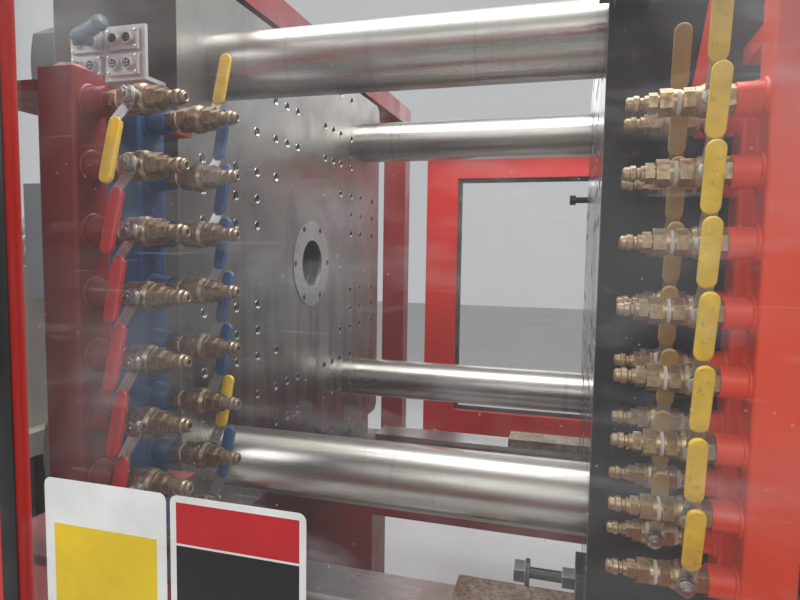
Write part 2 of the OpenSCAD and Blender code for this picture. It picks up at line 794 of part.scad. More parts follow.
// A vertical square tube with closed ends and a domed weld on top.
module header_tube(x0, z0, z1) {
    translate([x0 + header_w / 2, 0, z0]) linear_extrude(z1 - z0) round_square(header_w, header_w, 5);
    translate([x0 + header_w / 2, 0, z1 - 1]) cylinder(h = 8, r1 = header_w / 2 - 2, r2 = header_w / 2 - 10);
}

header_top = 34;
header_low = 45;
bracket_t = 12;
left_low = row_z(left_z, valve_count - 1) - header_low;
right_low = row_z(right_z, valve_count - 1) - header_low;

module left_red_header() color(platen_red) at_face() {
    x1 = left_header_x + header_w;
    translate([0, left_front_y, 0]) {
        header_tube(left_header_x, left_low, left_z + header_top);
        header_stubs(x1 - 1, x1 + stub_len, left_z);
    }
    for (z = [left_z + 10, left_low + 10]) {
        box(-80, left_header_x - seat_gap, left_front_y - header_w / 2, -half_w, z, z + bracket_t);
    }
}

module left_blue_header() color([0.12, 0.22, 0.42]) at_face() {
    x1 = left_header_x + header_w;
    translate([0, left_rear_y, 0]) {
        header_tube(left_header_x, left_low, left_z + header_top - 6);
        header_stubs(x1 - 1, x1 + stub_len, left_z);
    }
}

module left_valves() color(brass) at_face() {
    x = left_header_x + header_w + stub_len;
    for (i = [0:valve_count - 1]) {
        translate([x, left_front_y, row_z(left_z, i)]) spaced_train();
        translate([x, left_rear_y, row_z(left_z, i)]) mirror([0, 1, 0]) spaced_train();
    }
}

module right_valves() color(brass) at_face() {
    x = right_header_x - stub_len;
    for (i = [0:valve_count - 1]) {
        translate([x, right_front_y, row_z(right_z, i)]) mirror([1, 0, 0]) bushed_train();
        translate([x, right_rear_y, row_z(right_z, i)]) mirror([1, 0, 0]) spaced_train();
    }
}

spaced_stem = stub_len + spacer_len + valve_len / 2;
bushed_stem = stub_len + valve_len / 2;
strap_w = 26;

module left_rear_handles() color([0.12, 0.25, 0.50]) at_face() {
    for (i = [0:valve_count - 1]) {
        translate([left_header_x + header_w + spaced_stem, left_rear_y, row_z(left_z, i)]) {
            mirror([0, 1, 0]) lever();
        }
    }
}

module right_rear_handles() color([0.66, 0.52, 0.12]) at_face() {
    for (i = [0:valve_count - 1]) {
        translate([right_header_x - spaced_stem, right_rear_y, row_z(right_z, i)]) lever();
    }
}

module left_handle(i) color(i == 0 ? [0.80, 0.62, 0.10] : [0.70, 0.10, 0.12]) at_face() {
    translate([left_header_x + header_w + spaced_stem, left_front_y, row_z(left_z, i)]) {
        mirror([0, 0, 1]) lever();
    }
}

module right_handle(i) color([0.85, 0.68, 0.10]) at_face() {
    translate([right_header_x - bushed_stem, right_front_y, row_z(right_z, i)]) lever();
}

module right_headers() color(bright_red) at_face() {
    translate([0, right_front_y, 0]) {
        header_tube(right_header_x, right_low - 40, right_z + 120);
        header_stubs(right_header_x - stub_len, right_header_x + 1, right_z);
    }
    translate([0, right_rear_y, 0]) {
        header_tube(right_header_x, right_low, right_z + header_top);
        header_stubs(right_header_x - stub_len, right_header_x + 1, right_z);
    }
    front_back = right_front_y + header_w / 2;
    rear_back = right_rear_y + header_w / 2;
    for (z = [right_z + 70, right_low - 30]) {
        box(right_header_x + 10, right_header_x + 40, front_back - 1, -half_w, z, z + 20);
    }
    for (z = [right_z - 40, right_low + 40]) {
        box(right_header_x + 8, right_header_x + 42, rear_back - 1, -half_w, z, z + 40);
    }
    translate([right_header_x - 48, rear_back, right_z + 24]) rotate([0, 8, 0]) cube([strap_w, 6, 190]);
    box(right_header_x - 40, right_header_x - 8, rear_back + 5, -half_w, right_z + 190, right_z + 215);
    box(right_header_x - 40, right_header_x + 12, rear_back - 0.5, rear_back + 6, right_z - 14, right_z + 40);
}

module connector_block() color([0.60, 0.60, 0.58]) at_face() {
    y = -half_w - 46;
    z = half_h - 192;
    box(-152, -20, y, -half_w, z, z + 6);
    box(-152, -20, y, y + 6, z, z + 79);
    for (i = [0:1], j = [0:1]) translate([-120 + i * 64, 0, z + 22 + j * 36]) {
        translate([0, y - 3, 0]) cube([54, 6.01, 30], center = true);
        translate([-12, 0, 0]) rod_y(y - 11, y - 5.9, 9);
        translate([12, 0, 0]) rod_y(y - 11, y - 5.9, 9);
    }
}

barrel_x = -140;
block_x = barrel_x - barrel_len;
block_len = 260;
carriage_len = 1150;
carriage_x = block_x - 410;
carriage_base = bed_z + rail_h;
rail_gap = 0.3;
guide_r = 28;
guide_y = 230;
shot_r = 58;
shot_len = 340;
band_w = 110;
band_step = 170;
band_t = 9;
saddle_x0 = band_x(3) + band_w + 4;
saddle_x1 = band_x(2) - 4;

function band_x(i) = barrel_x - 130 - i * band_step - band_w;

// The carriage: a sledge on the rails, the feed block and the rear plate with its guide bars.
module injection_carriage() color([0.78, 0.77, 0.73]) at_face() {
    difference() {
        union() {
            box(carriage_x, carriage_x + carriage_len, -way_y - 60, way_y + 60, carriage_base + rail_gap, carriage_base + 60);
            box(block_x, block_x + block_len, -guide_y - 70, guide_y + 70, carriage_base + 55, 150);
            box(saddle_x0, saddle_x1, -140, 140, carriage_base + 55, -20);
            for (s = [-1, 1]) translate([0, s * guide_y, 0]) {
                rod_x(block_x + block_len - 1, block_x + block_len + shot_len, shot_r);
            }
            for (s = [-1, 1]) {
                box(carriage_x + 30, carriage_x + carriage_len - 60, s * 330 - 15, s * 330 + 15,
                    carriage_base + 55, carriage_base + 220);
            }
        }
        rod_x(block_x - 1, block_x + block_len + 1, barrel_d / 2 + running);
        translate([block_x + block_len / 2, 0, 0]) cylinder(h = 200, r = 50);
        for (s = [-1, 1]) translate([0, s * guide_y, 0]) {
            rod_x(block_x - 1, block_x + block_len + 1, guide_r + running);
            rod_x(block_x + block_len - 2, block_x + block_len + shot_len - 25, shot_r - 16);
        }
        rod_x(saddle_x0 - 1, saddle_x1 + 1, barrel_d / 2 + running);
    }
}

// The barrel, its front flange and the bore for the screw.
module barrel() color([0.40, 0.39, 0.38]) at_face() {
    x0 = block_x - 2;
    difference() {
        union() {
            rod_x(x0, barrel_x, barrel_d / 2);
            rod_x(x0 - 18, x0, barrel_d / 2 + 22);
            rod_x(barrel_x - 60, barrel_x, barrel_d / 2 + 15);
        }
        rod_x(x0 - 20, barrel_x - 40, screw_d / 2 + 0.5);
        rod_x(barrel_x - 60, barrel_x + 1, 12);
        translate([block_x + block_len / 2, 0, 0]) cylinder(h = 200, r = 36);
    }
}

module nozzle() color([0.50, 0.49, 0.46]) at_face() {
    difference() {
        union() {
            rod_x(barrel_x, barrel_x + 20, 50);
            hex_x(barrel_x + 19, barrel_x + 40, 55);
            rod_x(barrel_x + 39, barrel_x + 70, 22);
            translate([barrel_x + 70, 0, 0]) rotate([0, 90, 0]) cylinder(h = 14, r1 = 22, r2 = 10);
        }
        rod_x(barrel_x - 1, barrel_x + 60, 8);
        rod_x(barrel_x + 55, barrel_x + 90, 2.5);
    }
}

module heater_bands() color([0.66, 0.65, 0.60]) at_face() {
    for (i = [0:band_count - 1]) {
        x = band_x(i);
        difference() {
            union() {
                rod_x(x, x + band_w, barrel_d / 2 + band_t);
                box(x, x + band_w, -14, 14, -barrel_d / 2 - 26, -barrel_d / 2 - 4);
                translate([x + band_w / 2, 0, barrel_d / 2 + band_t - 2]) cylinder(h = 24, r = 13);
            }
            rod_x(x - 1, x + band_w + 1, barrel_d / 2 + running);
            box(x - 1, x + band_w + 1, -3, 3, -barrel_d / 2 - 30, -barrel_d / 2);
        }
    }
}

hopper_z = 150;
cone_h = 260;
hopper_h = 300;
wall = 3;

module hopper() color([0.72, 0.72, 0.72]) at_face() {
    translate([block_x + block_len / 2, 0, hopper_z]) {
        difference() {
            union() {
                translate([0, 0, 6]) cube([160, 160, 12], center = true);
                rotate_extrude() polygon([[50, 10], [50, 40], [hopper_r, 40 + cone_h], [hopper_r, 40 + cone_h + hopper_h],
                    [hopper_r - wall, 40 + cone_h + hopper_h], [hopper_r - wall, 41 + cone_h], [50 - wall, 41], [50 - wall, 10]]);
                for (s = [-1, 1]) translate([s * 57, 0, 40 + cone_h + hopper_h]) {
                    box(-5, 5, hopper_r - 9, lid_hinge_y + 12, -50, -3);
                    box(-5, 5, lid_hinge_y - 12, lid_hinge_y + 12, -4, 17);
                }
            }
            translate([0, 0, -1]) cylinder(h = 14, r = 50 - wall);
            translate([0, lid_hinge_y, 40 + cone_h + hopper_h + 5]) rod_x(-70, 70, 6 + running);
            translate([0, 0, 41 + cone_h]) cylinder(h = hopper_h + 10, r = hopper_r - wall);
        }
    }
}

lid_z = hopper_z + 40 + cone_h + hopper_h;
lid_hinge_y = hopper_r + 22;

module hopper_lid() color([0.70, 0.70, 0.70]) at_face() {
    translate([block_x + block_len / 2, 0, lid_z]) {
        translate([0, 0, 0.5]) cylinder(h = 6, r = hopper_r + 6);
        translate([0, 0, 6]) cylinder(h = 10, r1 = hopper_r - 20, r2 = hopper_r - 60);
        box(-50, 50, hopper_r - 10, lid_hinge_y, 0.5, 6.5);
        translate([0, lid_hinge_y, 5]) rod_x(-64, 64, 6);
        translate([0, -120, 15]) cylinder(h = 24, r = 12);
    }
}

crosshead_t = 130;
crosshead_h = 130;
drive_r = 120;
drive_cap_r = 85;
drive_cap_len = 40;
collar_r = 45;
collar_len = 60;
crosshead_x = carriage_x - crosshead_t;
motor_len = 400;

// The crosshead, its guide bars in the feed block and the screw motor behind it.
module drive_crosshead() color([0.34, 0.36, 0.38]) at_face() {
    difference() {
        union() {
            box(crosshead_x, crosshead_x + crosshead_t, -guide_y - 60, guide_y + 60, -crosshead_h, crosshead_h);
            rod_x(crosshead_x - motor_len, crosshead_x + 1, drive_r);
            rod_x(crosshead_x - motor_len, crosshead_x - motor_len + 30, drive_r + 14);
            rod_x(crosshead_x - 30, crosshead_x + 1, drive_r + 14);
            rod_x(crosshead_x - motor_len - drive_cap_len, crosshead_x - motor_len + 1, drive_cap_r);
        }
        rod_x(crosshead_x + 30, crosshead_x + crosshead_t + 1, collar_r);
    }
    for (s = [-1, 1]) translate([0, s * guide_y, 0]) {
        rod_x(crosshead_x + crosshead_t - 1, block_x + block_len + 300, guide_r);
    }
}

core_r = screw_d / 2 - 9;
flight_t = 8;
screw_tip = barrel_x - 60;
screw_tail = crosshead_x + 30.3;
flight_from = block_x - 10;
turns = floor((screw_tip - 60 - flight_from) / flight_pitch);

// The plasticising screw: a core, one flight as a row of thin rings, and a pointed tip.
module screw() color([0.66, 0.66, 0.66]) at_face() {
    rod_x(screw_tail, screw_tip - 60, core_r);
    rod_x(screw_tail, screw_tail + collar_len, collar_r - 1);
    translate([screw_tip - 60, 0, 0]) rotate([0, 90, 0]) cylinder(h = 55, r1 = core_r, r2 = 4);
    for (i = [0:turns]) {
        rod_x(flight_from + i * flight_pitch, flight_from + i * flight_pitch + flight_t, screw_d / 2);
    }
}

cover_y = 170;
cover_z = 175;
cover_x0 = -660;
cover_x1 = -370;
hinge_r = 8;

// The rod that the purge guard hangs on, with its foot on the fixed platen.
module guard_hinge_rod() {
    translate([0, cover_y + 12, cover_z]) {
        rod_x(cover_x0 - 10, fixed_back, hinge_r);
        rod_x(fixed_back - 12, fixed_back, 26);
    }
}

module purge_guard() color([0.83, 0.66, 0.12]) at_face() {
    union() {
        box(cover_x0, cover_x1, -cover_y, cover_y, cover_z - 1.5, cover_z + 1.5);
        box(cover_x0, cover_x1, -cover_y, -cover_y + 3, -90, cover_z + 1.5);
        for (x = [cover_x0, cover_x1 - 3]) {
            box(x, x + 3, -cover_y, cover_y - 20, cover_z - 60, cover_z);
        }
        translate([0, cover_y + 12, cover_z]) difference() {
            union() {
                for (x = [cover_x0 + 20, cover_x1 - 80]) {
                    rod_x(x, x + 60, hinge_r + 5);
                    box(x, x + 60, -14, -hinge_r - 1, -1.5, 1.5);
                }
            }
            rod_x(cover_x0 - 1, cover_x1 + 1, hinge_r + running);
        }
        translate([(cover_x0 + cover_x1) / 2, -cover_y, -20]) rod_y(-22, 0, 8);
    }
}

cabinet_x = -1900;
cabinet_len = 980;
cabinet_y0 = base_w / 2;
cabinet_y1 = 800;
console_x = -1300;
console_len = 380;
button_z = 210;
button_x = console_x + 60;
button_r = 20;

// The control cabinet on the operator's side, with the console above it.
module control_cabinet() color([0.82, 0.81, 0.77]) at_face() {
    difference() {
        union() {
            box(cabinet_x, cabinet_x + cabinet_len, cabinet_y0, cabinet_y1, floor_z + 90, bed_z + 20);
            box(console_x + 120, console_x + 240, cabinet_y1 - 160, cabinet_y1 - 80, bed_z + 19, 40);
            box(console_x, console_x + console_len, cabinet_y1 - 190, cabinet_y1 - 20, 30, 500);
        }
        box(console_x + 30, console_x + console_len - 30, cabinet_y1 - 26, cabinet_y1 + 1, 260, 470);
        for (x = [cabinet_x + 30, cabinet_x + cabinet_len / 2 + 10]) {
            box(x, x + 4, cabinet_y1 - 3, cabinet_y1 + 1, floor_z + 120, bed_z - 10);
            box(x + cabinet_len / 2 - 44, x + cabinet_len / 2 - 40, cabinet_y1 - 3, cabinet_y1 + 1, floor_z + 120, bed_z - 10);
        }
        translate([button_x, 0, button_z]) rod_y(cabinet_y1 - 70, cabinet_y1, 8 + running);
    }
    for (x = [cabinet_x + 40, cabinet_x + cabinet_len - 100]) {
        box(x, x + 60, cabinet_y0 + 40, cabinet_y1 - 60, floor_z + 30, floor_z + 91);
    }
}

module e_stop_button() color([0.80, 0.08, 0.06]) at_face() {
    translate([button_x, cabinet_y1 - 20, button_z]) {
        rod_y(10, 26, button_r);
        rod_y(-35, 11, 8);
    }
}

base_frame();
levelling_feet();
bed_ways();
fixed_platen();
locating_ring();
ring_screws();
tie_bars();
tie_bar_nuts();
clamp_platen();
clamp_cylinder();
guard_frame();
clamp_guards();
left_red_header();
left_blue_header();
left_valves();
left_rear_handles();
connector_block();
control_cabinet();
oil_tank();
moving_platen();
platen_shoes();
platen_bushes();
platen_fittings();
clamp_ram();
right_headers();
right_valves();
right_rear_handles();
ejector_plate();
near_gate_frame();
near_gate_window();
near_gate_handle();
far_gate_frame();
far_gate_window();
far_gate_handle();
injection_carriage();
barrel();
nozzle();
heater_bands();
hopper();
hopper_lid();
drive_crosshead();
screw();
purge_guard();
e_stop_button();
left_handle(0);  // left_handle_1
left_handle(1);  // left_handle_2
left_handle(2);  // left_handle_3
left_handle(3);  // left_handle_4
left_handle(4);  // left_handle_5
left_handle(5);  // left_handle_6
left_handle(6);  // left_handle_7
left_handle(7);  // left_handle_8
right_handle(0);  // right_handle_1
right_handle(1);  // right_handle_2
right_handle(2);  // right_handle_3
right_handle(3);  // right_handle_4
right_handle(4);  // right_handle_5
right_handle(5);  // right_handle_6
right_handle(6);  // right_handle_7
right_handle(7);  // right_handle_8
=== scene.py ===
"""Looks of an injection moulding machine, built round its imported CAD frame.

Sizes are in millimetres from the centre of the fixed platen's mould face, and place() turns them
into the frame's metres. Each sub-assembly is a class that adds the pieces which its CAD nodes lack,
and each piece rides on the body of the node that carries it.
"""
from __future__ import annotations

import logging
import math
import random
from dataclasses import dataclass
from enum import Enum
from itertools import product
from typing import Iterable, Sequence

import bmesh
import bpy
from mathutils import Matrix, Vector


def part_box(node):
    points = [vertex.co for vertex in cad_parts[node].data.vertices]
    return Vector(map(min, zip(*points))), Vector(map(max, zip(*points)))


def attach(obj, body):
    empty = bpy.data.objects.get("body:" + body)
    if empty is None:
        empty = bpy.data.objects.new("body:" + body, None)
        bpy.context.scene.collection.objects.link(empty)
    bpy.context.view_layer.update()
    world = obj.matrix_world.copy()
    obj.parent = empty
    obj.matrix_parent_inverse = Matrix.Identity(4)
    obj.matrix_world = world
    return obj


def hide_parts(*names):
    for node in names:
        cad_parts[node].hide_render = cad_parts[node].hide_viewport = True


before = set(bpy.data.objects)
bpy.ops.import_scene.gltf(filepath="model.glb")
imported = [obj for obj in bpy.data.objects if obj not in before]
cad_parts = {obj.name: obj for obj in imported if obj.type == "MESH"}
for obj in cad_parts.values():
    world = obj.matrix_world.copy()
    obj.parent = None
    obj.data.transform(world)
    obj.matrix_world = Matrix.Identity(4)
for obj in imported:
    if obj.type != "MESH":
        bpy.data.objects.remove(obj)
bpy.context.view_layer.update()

LOG = logging.getLogger("machine")
Colour = tuple[float, float, float]
Socket = bpy.types.NodeSocket
Value = Socket | float | Sequence[float]
Vert, Face, Edge = bmesh.types.BMVert, bmesh.types.BMFace, bmesh.types.BMEdge
Span = tuple[float, float, float, float]
MM = 0.001
FACE_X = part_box("fixed_platen")[1].x
CENTRE_Z = sum((c.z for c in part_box("locating_ring")), 0.0) / 2
VALVES = 8
FULL_TURN = 2 * math.pi


def place(x: float, y: float, z: float) -> Vector:
    """Turn millimetres from the mould face's centre into a point of the frame.

    Args:
        x: Distance from the mould face, towards the clamp.
        y: Distance from the centre line, towards the far side.
        z: Height above the centre line.

    Returns:
        The point in metres.
    """
    return Vector((FACE_X + x * MM, y * MM, CENTRE_Z + z * MM))


X_AXIS, Y_AXIS, Z_AXIS = Vector((1, 0, 0)), Vector((0, 1, 0)), Vector((0, 0, 1))
TO_FRAME = Matrix.Translation(place(0, 0, 0)) @ Matrix.Scale(MM, 4)


def around(axis: str, angle: float, radius: float) -> Vector:
    """Return a point on a circle about an axis, the angle in radians."""
    a, b = math.cos(angle) * radius, math.sin(angle) * radius
    return Vector({"X": (0, a, b), "Y": (a, 0, b), "Z": (a, b, 0)}[axis])


def evenly(start: float, end: float, count: int) -> list[float]:
    """Return a count of numbers spaced evenly from start to end."""
    return [start + i * (end - start) / (count - 1) for i in range(count)]


def border(x0: float, x1: float, z0: float, z1: float, inside: float,
           outside: float = 0.0) -> tuple[Span, ...]:
    """Return the four strips that lie along a rectangle's edges, inside and outside it."""
    return ((x0 - outside, x0 + inside, z0, z1), (x1 - inside, x1 + outside, z0, z1),
            (x0, x1, z1 - inside, z1 + outside), (x0, x1, z0 - outside, z0 + inside))


def darker(colour: Colour, share: float) -> Colour:
    """Return a colour with its light scaled."""
    return tuple(c * share for c in colour)


def blend(first: Colour, second: Colour, share: float) -> Colour:
    """Return a colour part of the way between two."""
    return tuple(a + (b - a) * share for a, b in zip(first, second))


def feed(tree: bpy.types.NodeTree, socket: Socket, value: Value) -> None:
    """Link a socket to an input, or set the input to a plain value."""
    if isinstance(value, bpy.types.NodeSocket):
        tree.links.new(value, socket)
    elif isinstance(value, (int, float)):
        socket.default_value = value
    else:
        with_alpha = len(socket.default_value) == 4
        socket.default_value = (*value, 1.0) if with_alpha else tuple(value)


def add_node(tree: bpy.types.NodeTree, kind: str, inputs: dict[int | str, Value],
             out: int | str = 0, **settings: object) -> Socket:
    """Add a node to a tree.

    Args:
        tree: The node tree.
        kind: The node's type.
        inputs: What to link or set, by the input's name or number.
        out: The output that is wanted.
        **settings: The node's own properties.

    Returns:
        The wanted output.
    """
    node = tree.nodes.new(kind)
    for key, value in settings.items():
        setattr(node, key, value)
    for key, value in inputs.items():
        feed(tree, node.inputs[key], value)
    return node.outputs[out]


class Graph:
    """A material's node tree, with short calls for the nodes that the finishes share."""

    def __init__(self, name: str) -> None:
        """Start a material with a Principled shader."""
        self.material = bpy.data.materials.new(name)
        self.material.use_nodes = True
        self.tree = self.material.node_tree

    def node(self, kind: str, inputs: dict[int | str, Value], out: int | str = 0,
             **settings: object) -> Socket:
        """Add a node to the material and return one of its outputs."""
        return add_node(self.tree, kind, inputs, out, **settings)

    def done(self, inputs: dict[str, Value]) -> bpy.types.Material:
        """Feed the shader's own sockets and return the material."""
        for key, value in inputs.items():
            feed(self.tree, self.tree.nodes["Principled BSDF"].inputs[key], value)
        return self.material

    def stretched(self, stretch: Sequence[float]) -> Socket:
        """Return Object coordinates scaled along each axis."""
        spot = self.node("ShaderNodeTexCoord", {}, "Object")
        return self.node("ShaderNodeMapping", {"Vector": spot, "Scale": stretch})

    def noise(self, scale: float, detail: float, rough: float = 0.5,
              stretch: Sequence[float] = (1, 1, 1), warp: float = 0) -> Socket:
        """Return a noise value.

        Args:
            scale: Cells per metre.
            detail: Octaves.
            rough: Share of the finer octaves.
            stretch: Scale along each axis, below 1 where the pattern is drawn out.
            warp: Distortion.

        Returns:
            The noise node's value socket.
        """
        return self.node("ShaderNodeTexNoise", {
            "Vector": self.stretched(stretch), "Scale": scale, "Detail": detail,
            "Roughness": rough, "Distortion": warp}, "Fac")

    def cells(self, scale: float) -> Socket:
        """Return the distance to the nearest of scattered points."""
        spots = {"Vector": self.stretched((1, 1, 1)), "Scale": scale}
        return self.node("ShaderNodeTexVoronoi", spots, "Distance")

    def level(self, value: Socket, low: float, high: float, start: float = 0,
              end: float = 1) -> Socket:
        """Map a value's stretch from low to high onto start to end, and clamp it."""
        return self.node("ShaderNodeMapRange", {
            "Value": value, "From Min": low, "From Max": high, "To Min": start,
            "To Max": end}, clamp=True)

    def patches(self, scale: float, detail: float, rough: float, low: float, high: float,
                most: float = 1, least: float = 0, **drawn: object) -> Socket:
        """Return a noise that rises from least at the level low to most at the level high."""
        return self.level(self.noise(scale, detail, rough, **drawn), low, high, least, most)

    def mix(self, amount: Value, first: Value, second: Value) -> Socket:
        """Return a colour between two colours."""
        return self.node("ShaderNodeMix", {"Factor": amount, 6: first, 7: second}, 2,
                         data_type="RGBA")

    def join(self, operation: str, first: Value, second: Value) -> Socket:
        """Return the outcome of a Math operation, kept between 0 and 1."""
        return self.node("ShaderNodeMath", {0: first, 1: second}, operation=operation,
                         use_clamp=True)

    def times(self, first: Value, second: Value) -> Socket:
        """Return the product of two values."""
        return self.join("MULTIPLY", first, second)

    def part(self, vector: str, axis: str) -> Socket:
        """Return one axis of the Normal or of the Object coordinates."""
        whole = self.node("ShaderNodeTexCoord", {}, vector)
        return self.node("ShaderNodeSeparateXYZ", {0: whole}, axis)

    def facing_up(self) -> Socket:
        """Return how far a surface faces up, from 0 to 1."""
        return self.level(self.part("Normal", "Z"), 0.2, 1.0)

    def facing_along(self, axis: str) -> Socket:
        """Return 1 where a surface faces along an axis, either way, and 0 where it faces across."""
        return self.level(self.join("ABSOLUTE", self.part("Normal", axis), 0.0), 0.75, 0.95)

    def edges(self, radius: float) -> Socket:
        """Return 1 near a sharp edge and 0 on flat stretches."""
        rounded = self.node("ShaderNodeBevel", {"Radius": radius}, samples=2)
        plain = self.node("ShaderNodeNewGeometry", {}, "Normal")
        turn = self.node("ShaderNodeVectorMath", {0: rounded, 1: plain}, "Value",
                         operation="DOT_PRODUCT")
        return self.level(turn, 0.98, 0.80)

    def bump(self, height: Socket, depth: float, under: Socket | None = None) -> Socket:
        """Return a normal from a height, over an earlier normal where one is given."""
        below = {} if under is None else {"Normal": under}
        return self.node("ShaderNodeBump", {"Height": height, "Strength": 1.0,
                                            "Distance": depth, **below})


@dataclass(frozen=True)
class Paint:
    """Machine paint with orange peel, drift, dust on its tops, grime and chipped edges."""

    name: str
    colour: Colour
    roughness: float = 0.34
    grime: float = 0.5
    chips: float = 0.6
    peel: float = 0.00012
    grime_colour: Colour = (0.10, 0.085, 0.07)
    speck_colour: Colour = (0.05, 0.045, 0.04)
    dust_colour: Colour = (0.42, 0.40, 0.37)
    chip_colour: Colour = (0.20, 0.19, 0.18)

    def build(self) -> bpy.types.Material:
        """Make the material."""
        g = Graph(self.name)
        drift = g.patches(2.6, 5, 0.5, 0.3, 0.7)
        base = g.mix(drift, darker(self.colour, 0.82), self.colour)
        streaks = g.patches(16, 6, 0.6, 0.52, 0.75, 0.55 * self.grime, stretch=(1, 1, 0.18))
        base = g.mix(streaks, base, darker(blend(self.colour, self.grime_colour, 0.7), 0.8))
        specks = g.patches(240, 3, 0.7, 0.66, 0.72, 0.6 * self.grime)
        base = g.mix(specks, base, self.speck_colour)
        dust = g.times(g.facing_up(), g.patches(30, 7, 0.7, 0.35, 0.7, 0.5, 0.1))
        base = g.mix(g.times(dust, self.grime), base, self.dust_colour)
        worn = g.times(g.edges(0.004), g.patches(70, 5, 0.7, 0.50, 0.60, self.chips))
        dull, glossy = self.roughness * 1.7, self.roughness * 0.8
        skin = g.bump(g.noise(380, 2), self.peel)
        return g.done({"Base Color": g.mix(worn, base, self.chip_colour), "IOR": 1.5,
                       "Roughness": g.patches(12, 6, 0.6, 0.3, 0.75, dull, glossy),
                       "Normal": g.bump(worn, 0.0002, skin)})


@dataclass(frozen=True)
class Steel:
    """Ground, turned or blackened steel, drawn along one axis, with stains and scuffs."""

    name: str
    colour: Colour
    roughness: float = 0.35
    grain: tuple[float, float, float] = (1, 1, 1)
    stain: Colour = (0.16, 0.13, 0.10)
    stains: float = 0.5
    metallic: float = 1.0
    edge_colour: Colour = (0.8, 0.79, 0.77)

    def build(self) -> bpy.types.Material:
        """Make the material."""
        g = Graph(self.name)
        lines = g.noise(420, 4, 0.7, stretch=self.grain)
        base = g.mix(g.level(lines, 0.3, 0.7), darker(self.colour, 0.80), self.colour)
        blots = g.noise(5.5, 7, 0.62, warp=0.5)
        base = g.mix(g.level(blots, 0.5, 0.72, 0, self.stains), base, self.stain)
        oil = g.patches(34, 6, 0.65, 0.55, 0.72, 0.5 * self.stains, stretch=(1, 1, 0.4))
        base = g.mix(oil, base, darker(self.stain, 0.6))
        bright = g.times(g.edges(0.0025), 0.6)
        worn = g.level(blots, 0.4, 0.75, self.roughness * 0.85, self.roughness * 1.5)
        return g.done({
            "Base Color": g.mix(bright, base, blend(self.colour, self.edge_colour, 0.6)),
            "Metallic": self.metallic, "Normal": g.bump(lines, 0.00003),
            "Roughness": g.join("ADD", worn, g.level(lines, 0.3, 0.7, -0.05, 0.08))})


@dataclass(frozen=True)
class PlatenSteel:
    """A platen: ground mould face, rough dark sides, hole walls darkened as painted shade, and oil
    that has run down.
    """

    name: str
    colour: Colour = (0.40, 0.39, 0.37)
    # dark sides, and painted shade on the walls of holes and bores
    side: Colour = (0.085, 0.075, 0.066)
    roughness: float = 0.42
    wet_z: float = 1.02
    dry_z: float = 1.42
    runs: float = 0.7
    oil: Colour = (0.055, 0.045, 0.032)
    fleck: Colour = (0.11, 0.075, 0.05)
    rust: Colour = (0.14, 0.075, 0.045)
    edge_colour: Colour = (0.60, 0.585, 0.56)

    def build(self) -> bpy.types.Material:
        """Make the material."""
        g = Graph(self.name)
        face = g.facing_along("X")
        lines = g.noise(420, 4, 0.7, stretch=(1, 1, 0.03))
        base = g.mix(g.level(lines, 0.3, 0.7), darker(self.colour, 0.82), self.colour)
        blots = g.noise(5.5, 7, 0.62, warp=0.5)
        base = g.mix(g.level(blots, 0.48, 0.72, 0, 0.55), base, darker(self.colour, 0.45))
        low = g.level(g.part("Object", "Z"), self.dry_z, self.wet_z)
        drips = g.patches(22, 6, 0.65, 0.36, 0.62, stretch=(1, 1, 0.10), warp=0.2)
        oily = g.times(drips, low)
        base = g.mix(g.times(oily, self.runs), base, self.oil)
        base = g.mix(g.patches(160, 5, 0.7, 0.60, 0.72, 0.45), base, self.fleck)
        # Faces that don't face along x take the side colour with rust patches; on the walls of
        # holes and bores this darkness is painted shade.
        side_and_hole_shade = g.mix(g.patches(48, 6, 0.7, 0.56, 0.70, 0.6), self.side, self.rust)
        bright = g.times(g.edges(0.0025), 0.55)
        gloss = g.level(blots, 0.4, 0.75, self.roughness * 0.8, self.roughness * 1.4)
        dull = g.join("ADD", gloss, g.level(face, 1, 0, 0, 0.25))
        return g.done({
            "Base Color": g.mix(bright, g.mix(face, side_and_hole_shade, base), self.edge_colour),
            "Metallic": g.level(face, 0, 1, 0.45, 1.0),
            "Roughness": g.join("SUBTRACT", dull, g.level(oily, 0, 1, 0, 0.16)),
            "Normal": g.bump(g.noise(120, 5, 0.65), 0.00025, g.bump(lines, 0.00003))})


@dataclass(frozen=True)
class BarSteel:
    """A chromed tie bar: long wipes of oil, fine scuffs and rings where bushes have stopped."""

    name: str
    colour: Colour = (0.50, 0.49, 0.455)
    roughness: float = 0.27
    wiped: Colour = (0.30, 0.28, 0.245)
    ringed: Colour = (0.20, 0.19, 0.18)
    scuffed: Colour = (0.72, 0.71, 0.69)

    def build(self) -> bpy.types.Material:
        """Make the material."""
        g = Graph(self.name)
        wipes = g.noise(26, 6, 0.62, stretch=(0.10, 1, 1))
        scuffs = g.noise(260, 4, 0.75, stretch=(0.05, 1, 1))
        rings = g.patches(60, 3, 0.6, 0.60, 0.72, 0.35, stretch=(1, 0.02, 0.02))
        base = g.mix(g.level(wipes, 0.40, 0.72, 0, 0.75), self.colour, self.wiped)
        base = g.mix(rings, base, self.ringed)
        low, high = self.roughness * 0.85, self.roughness * 1.6
        return g.done({
            "Base Color": g.mix(g.level(scuffs, 0.60, 0.74, 0, 0.5), base, self.scuffed),
            "Metallic": 1.0, "Roughness": g.level(wipes, 0.35, 0.72, low, high),
            "Normal": g.bump(scuffs, 0.00003)})


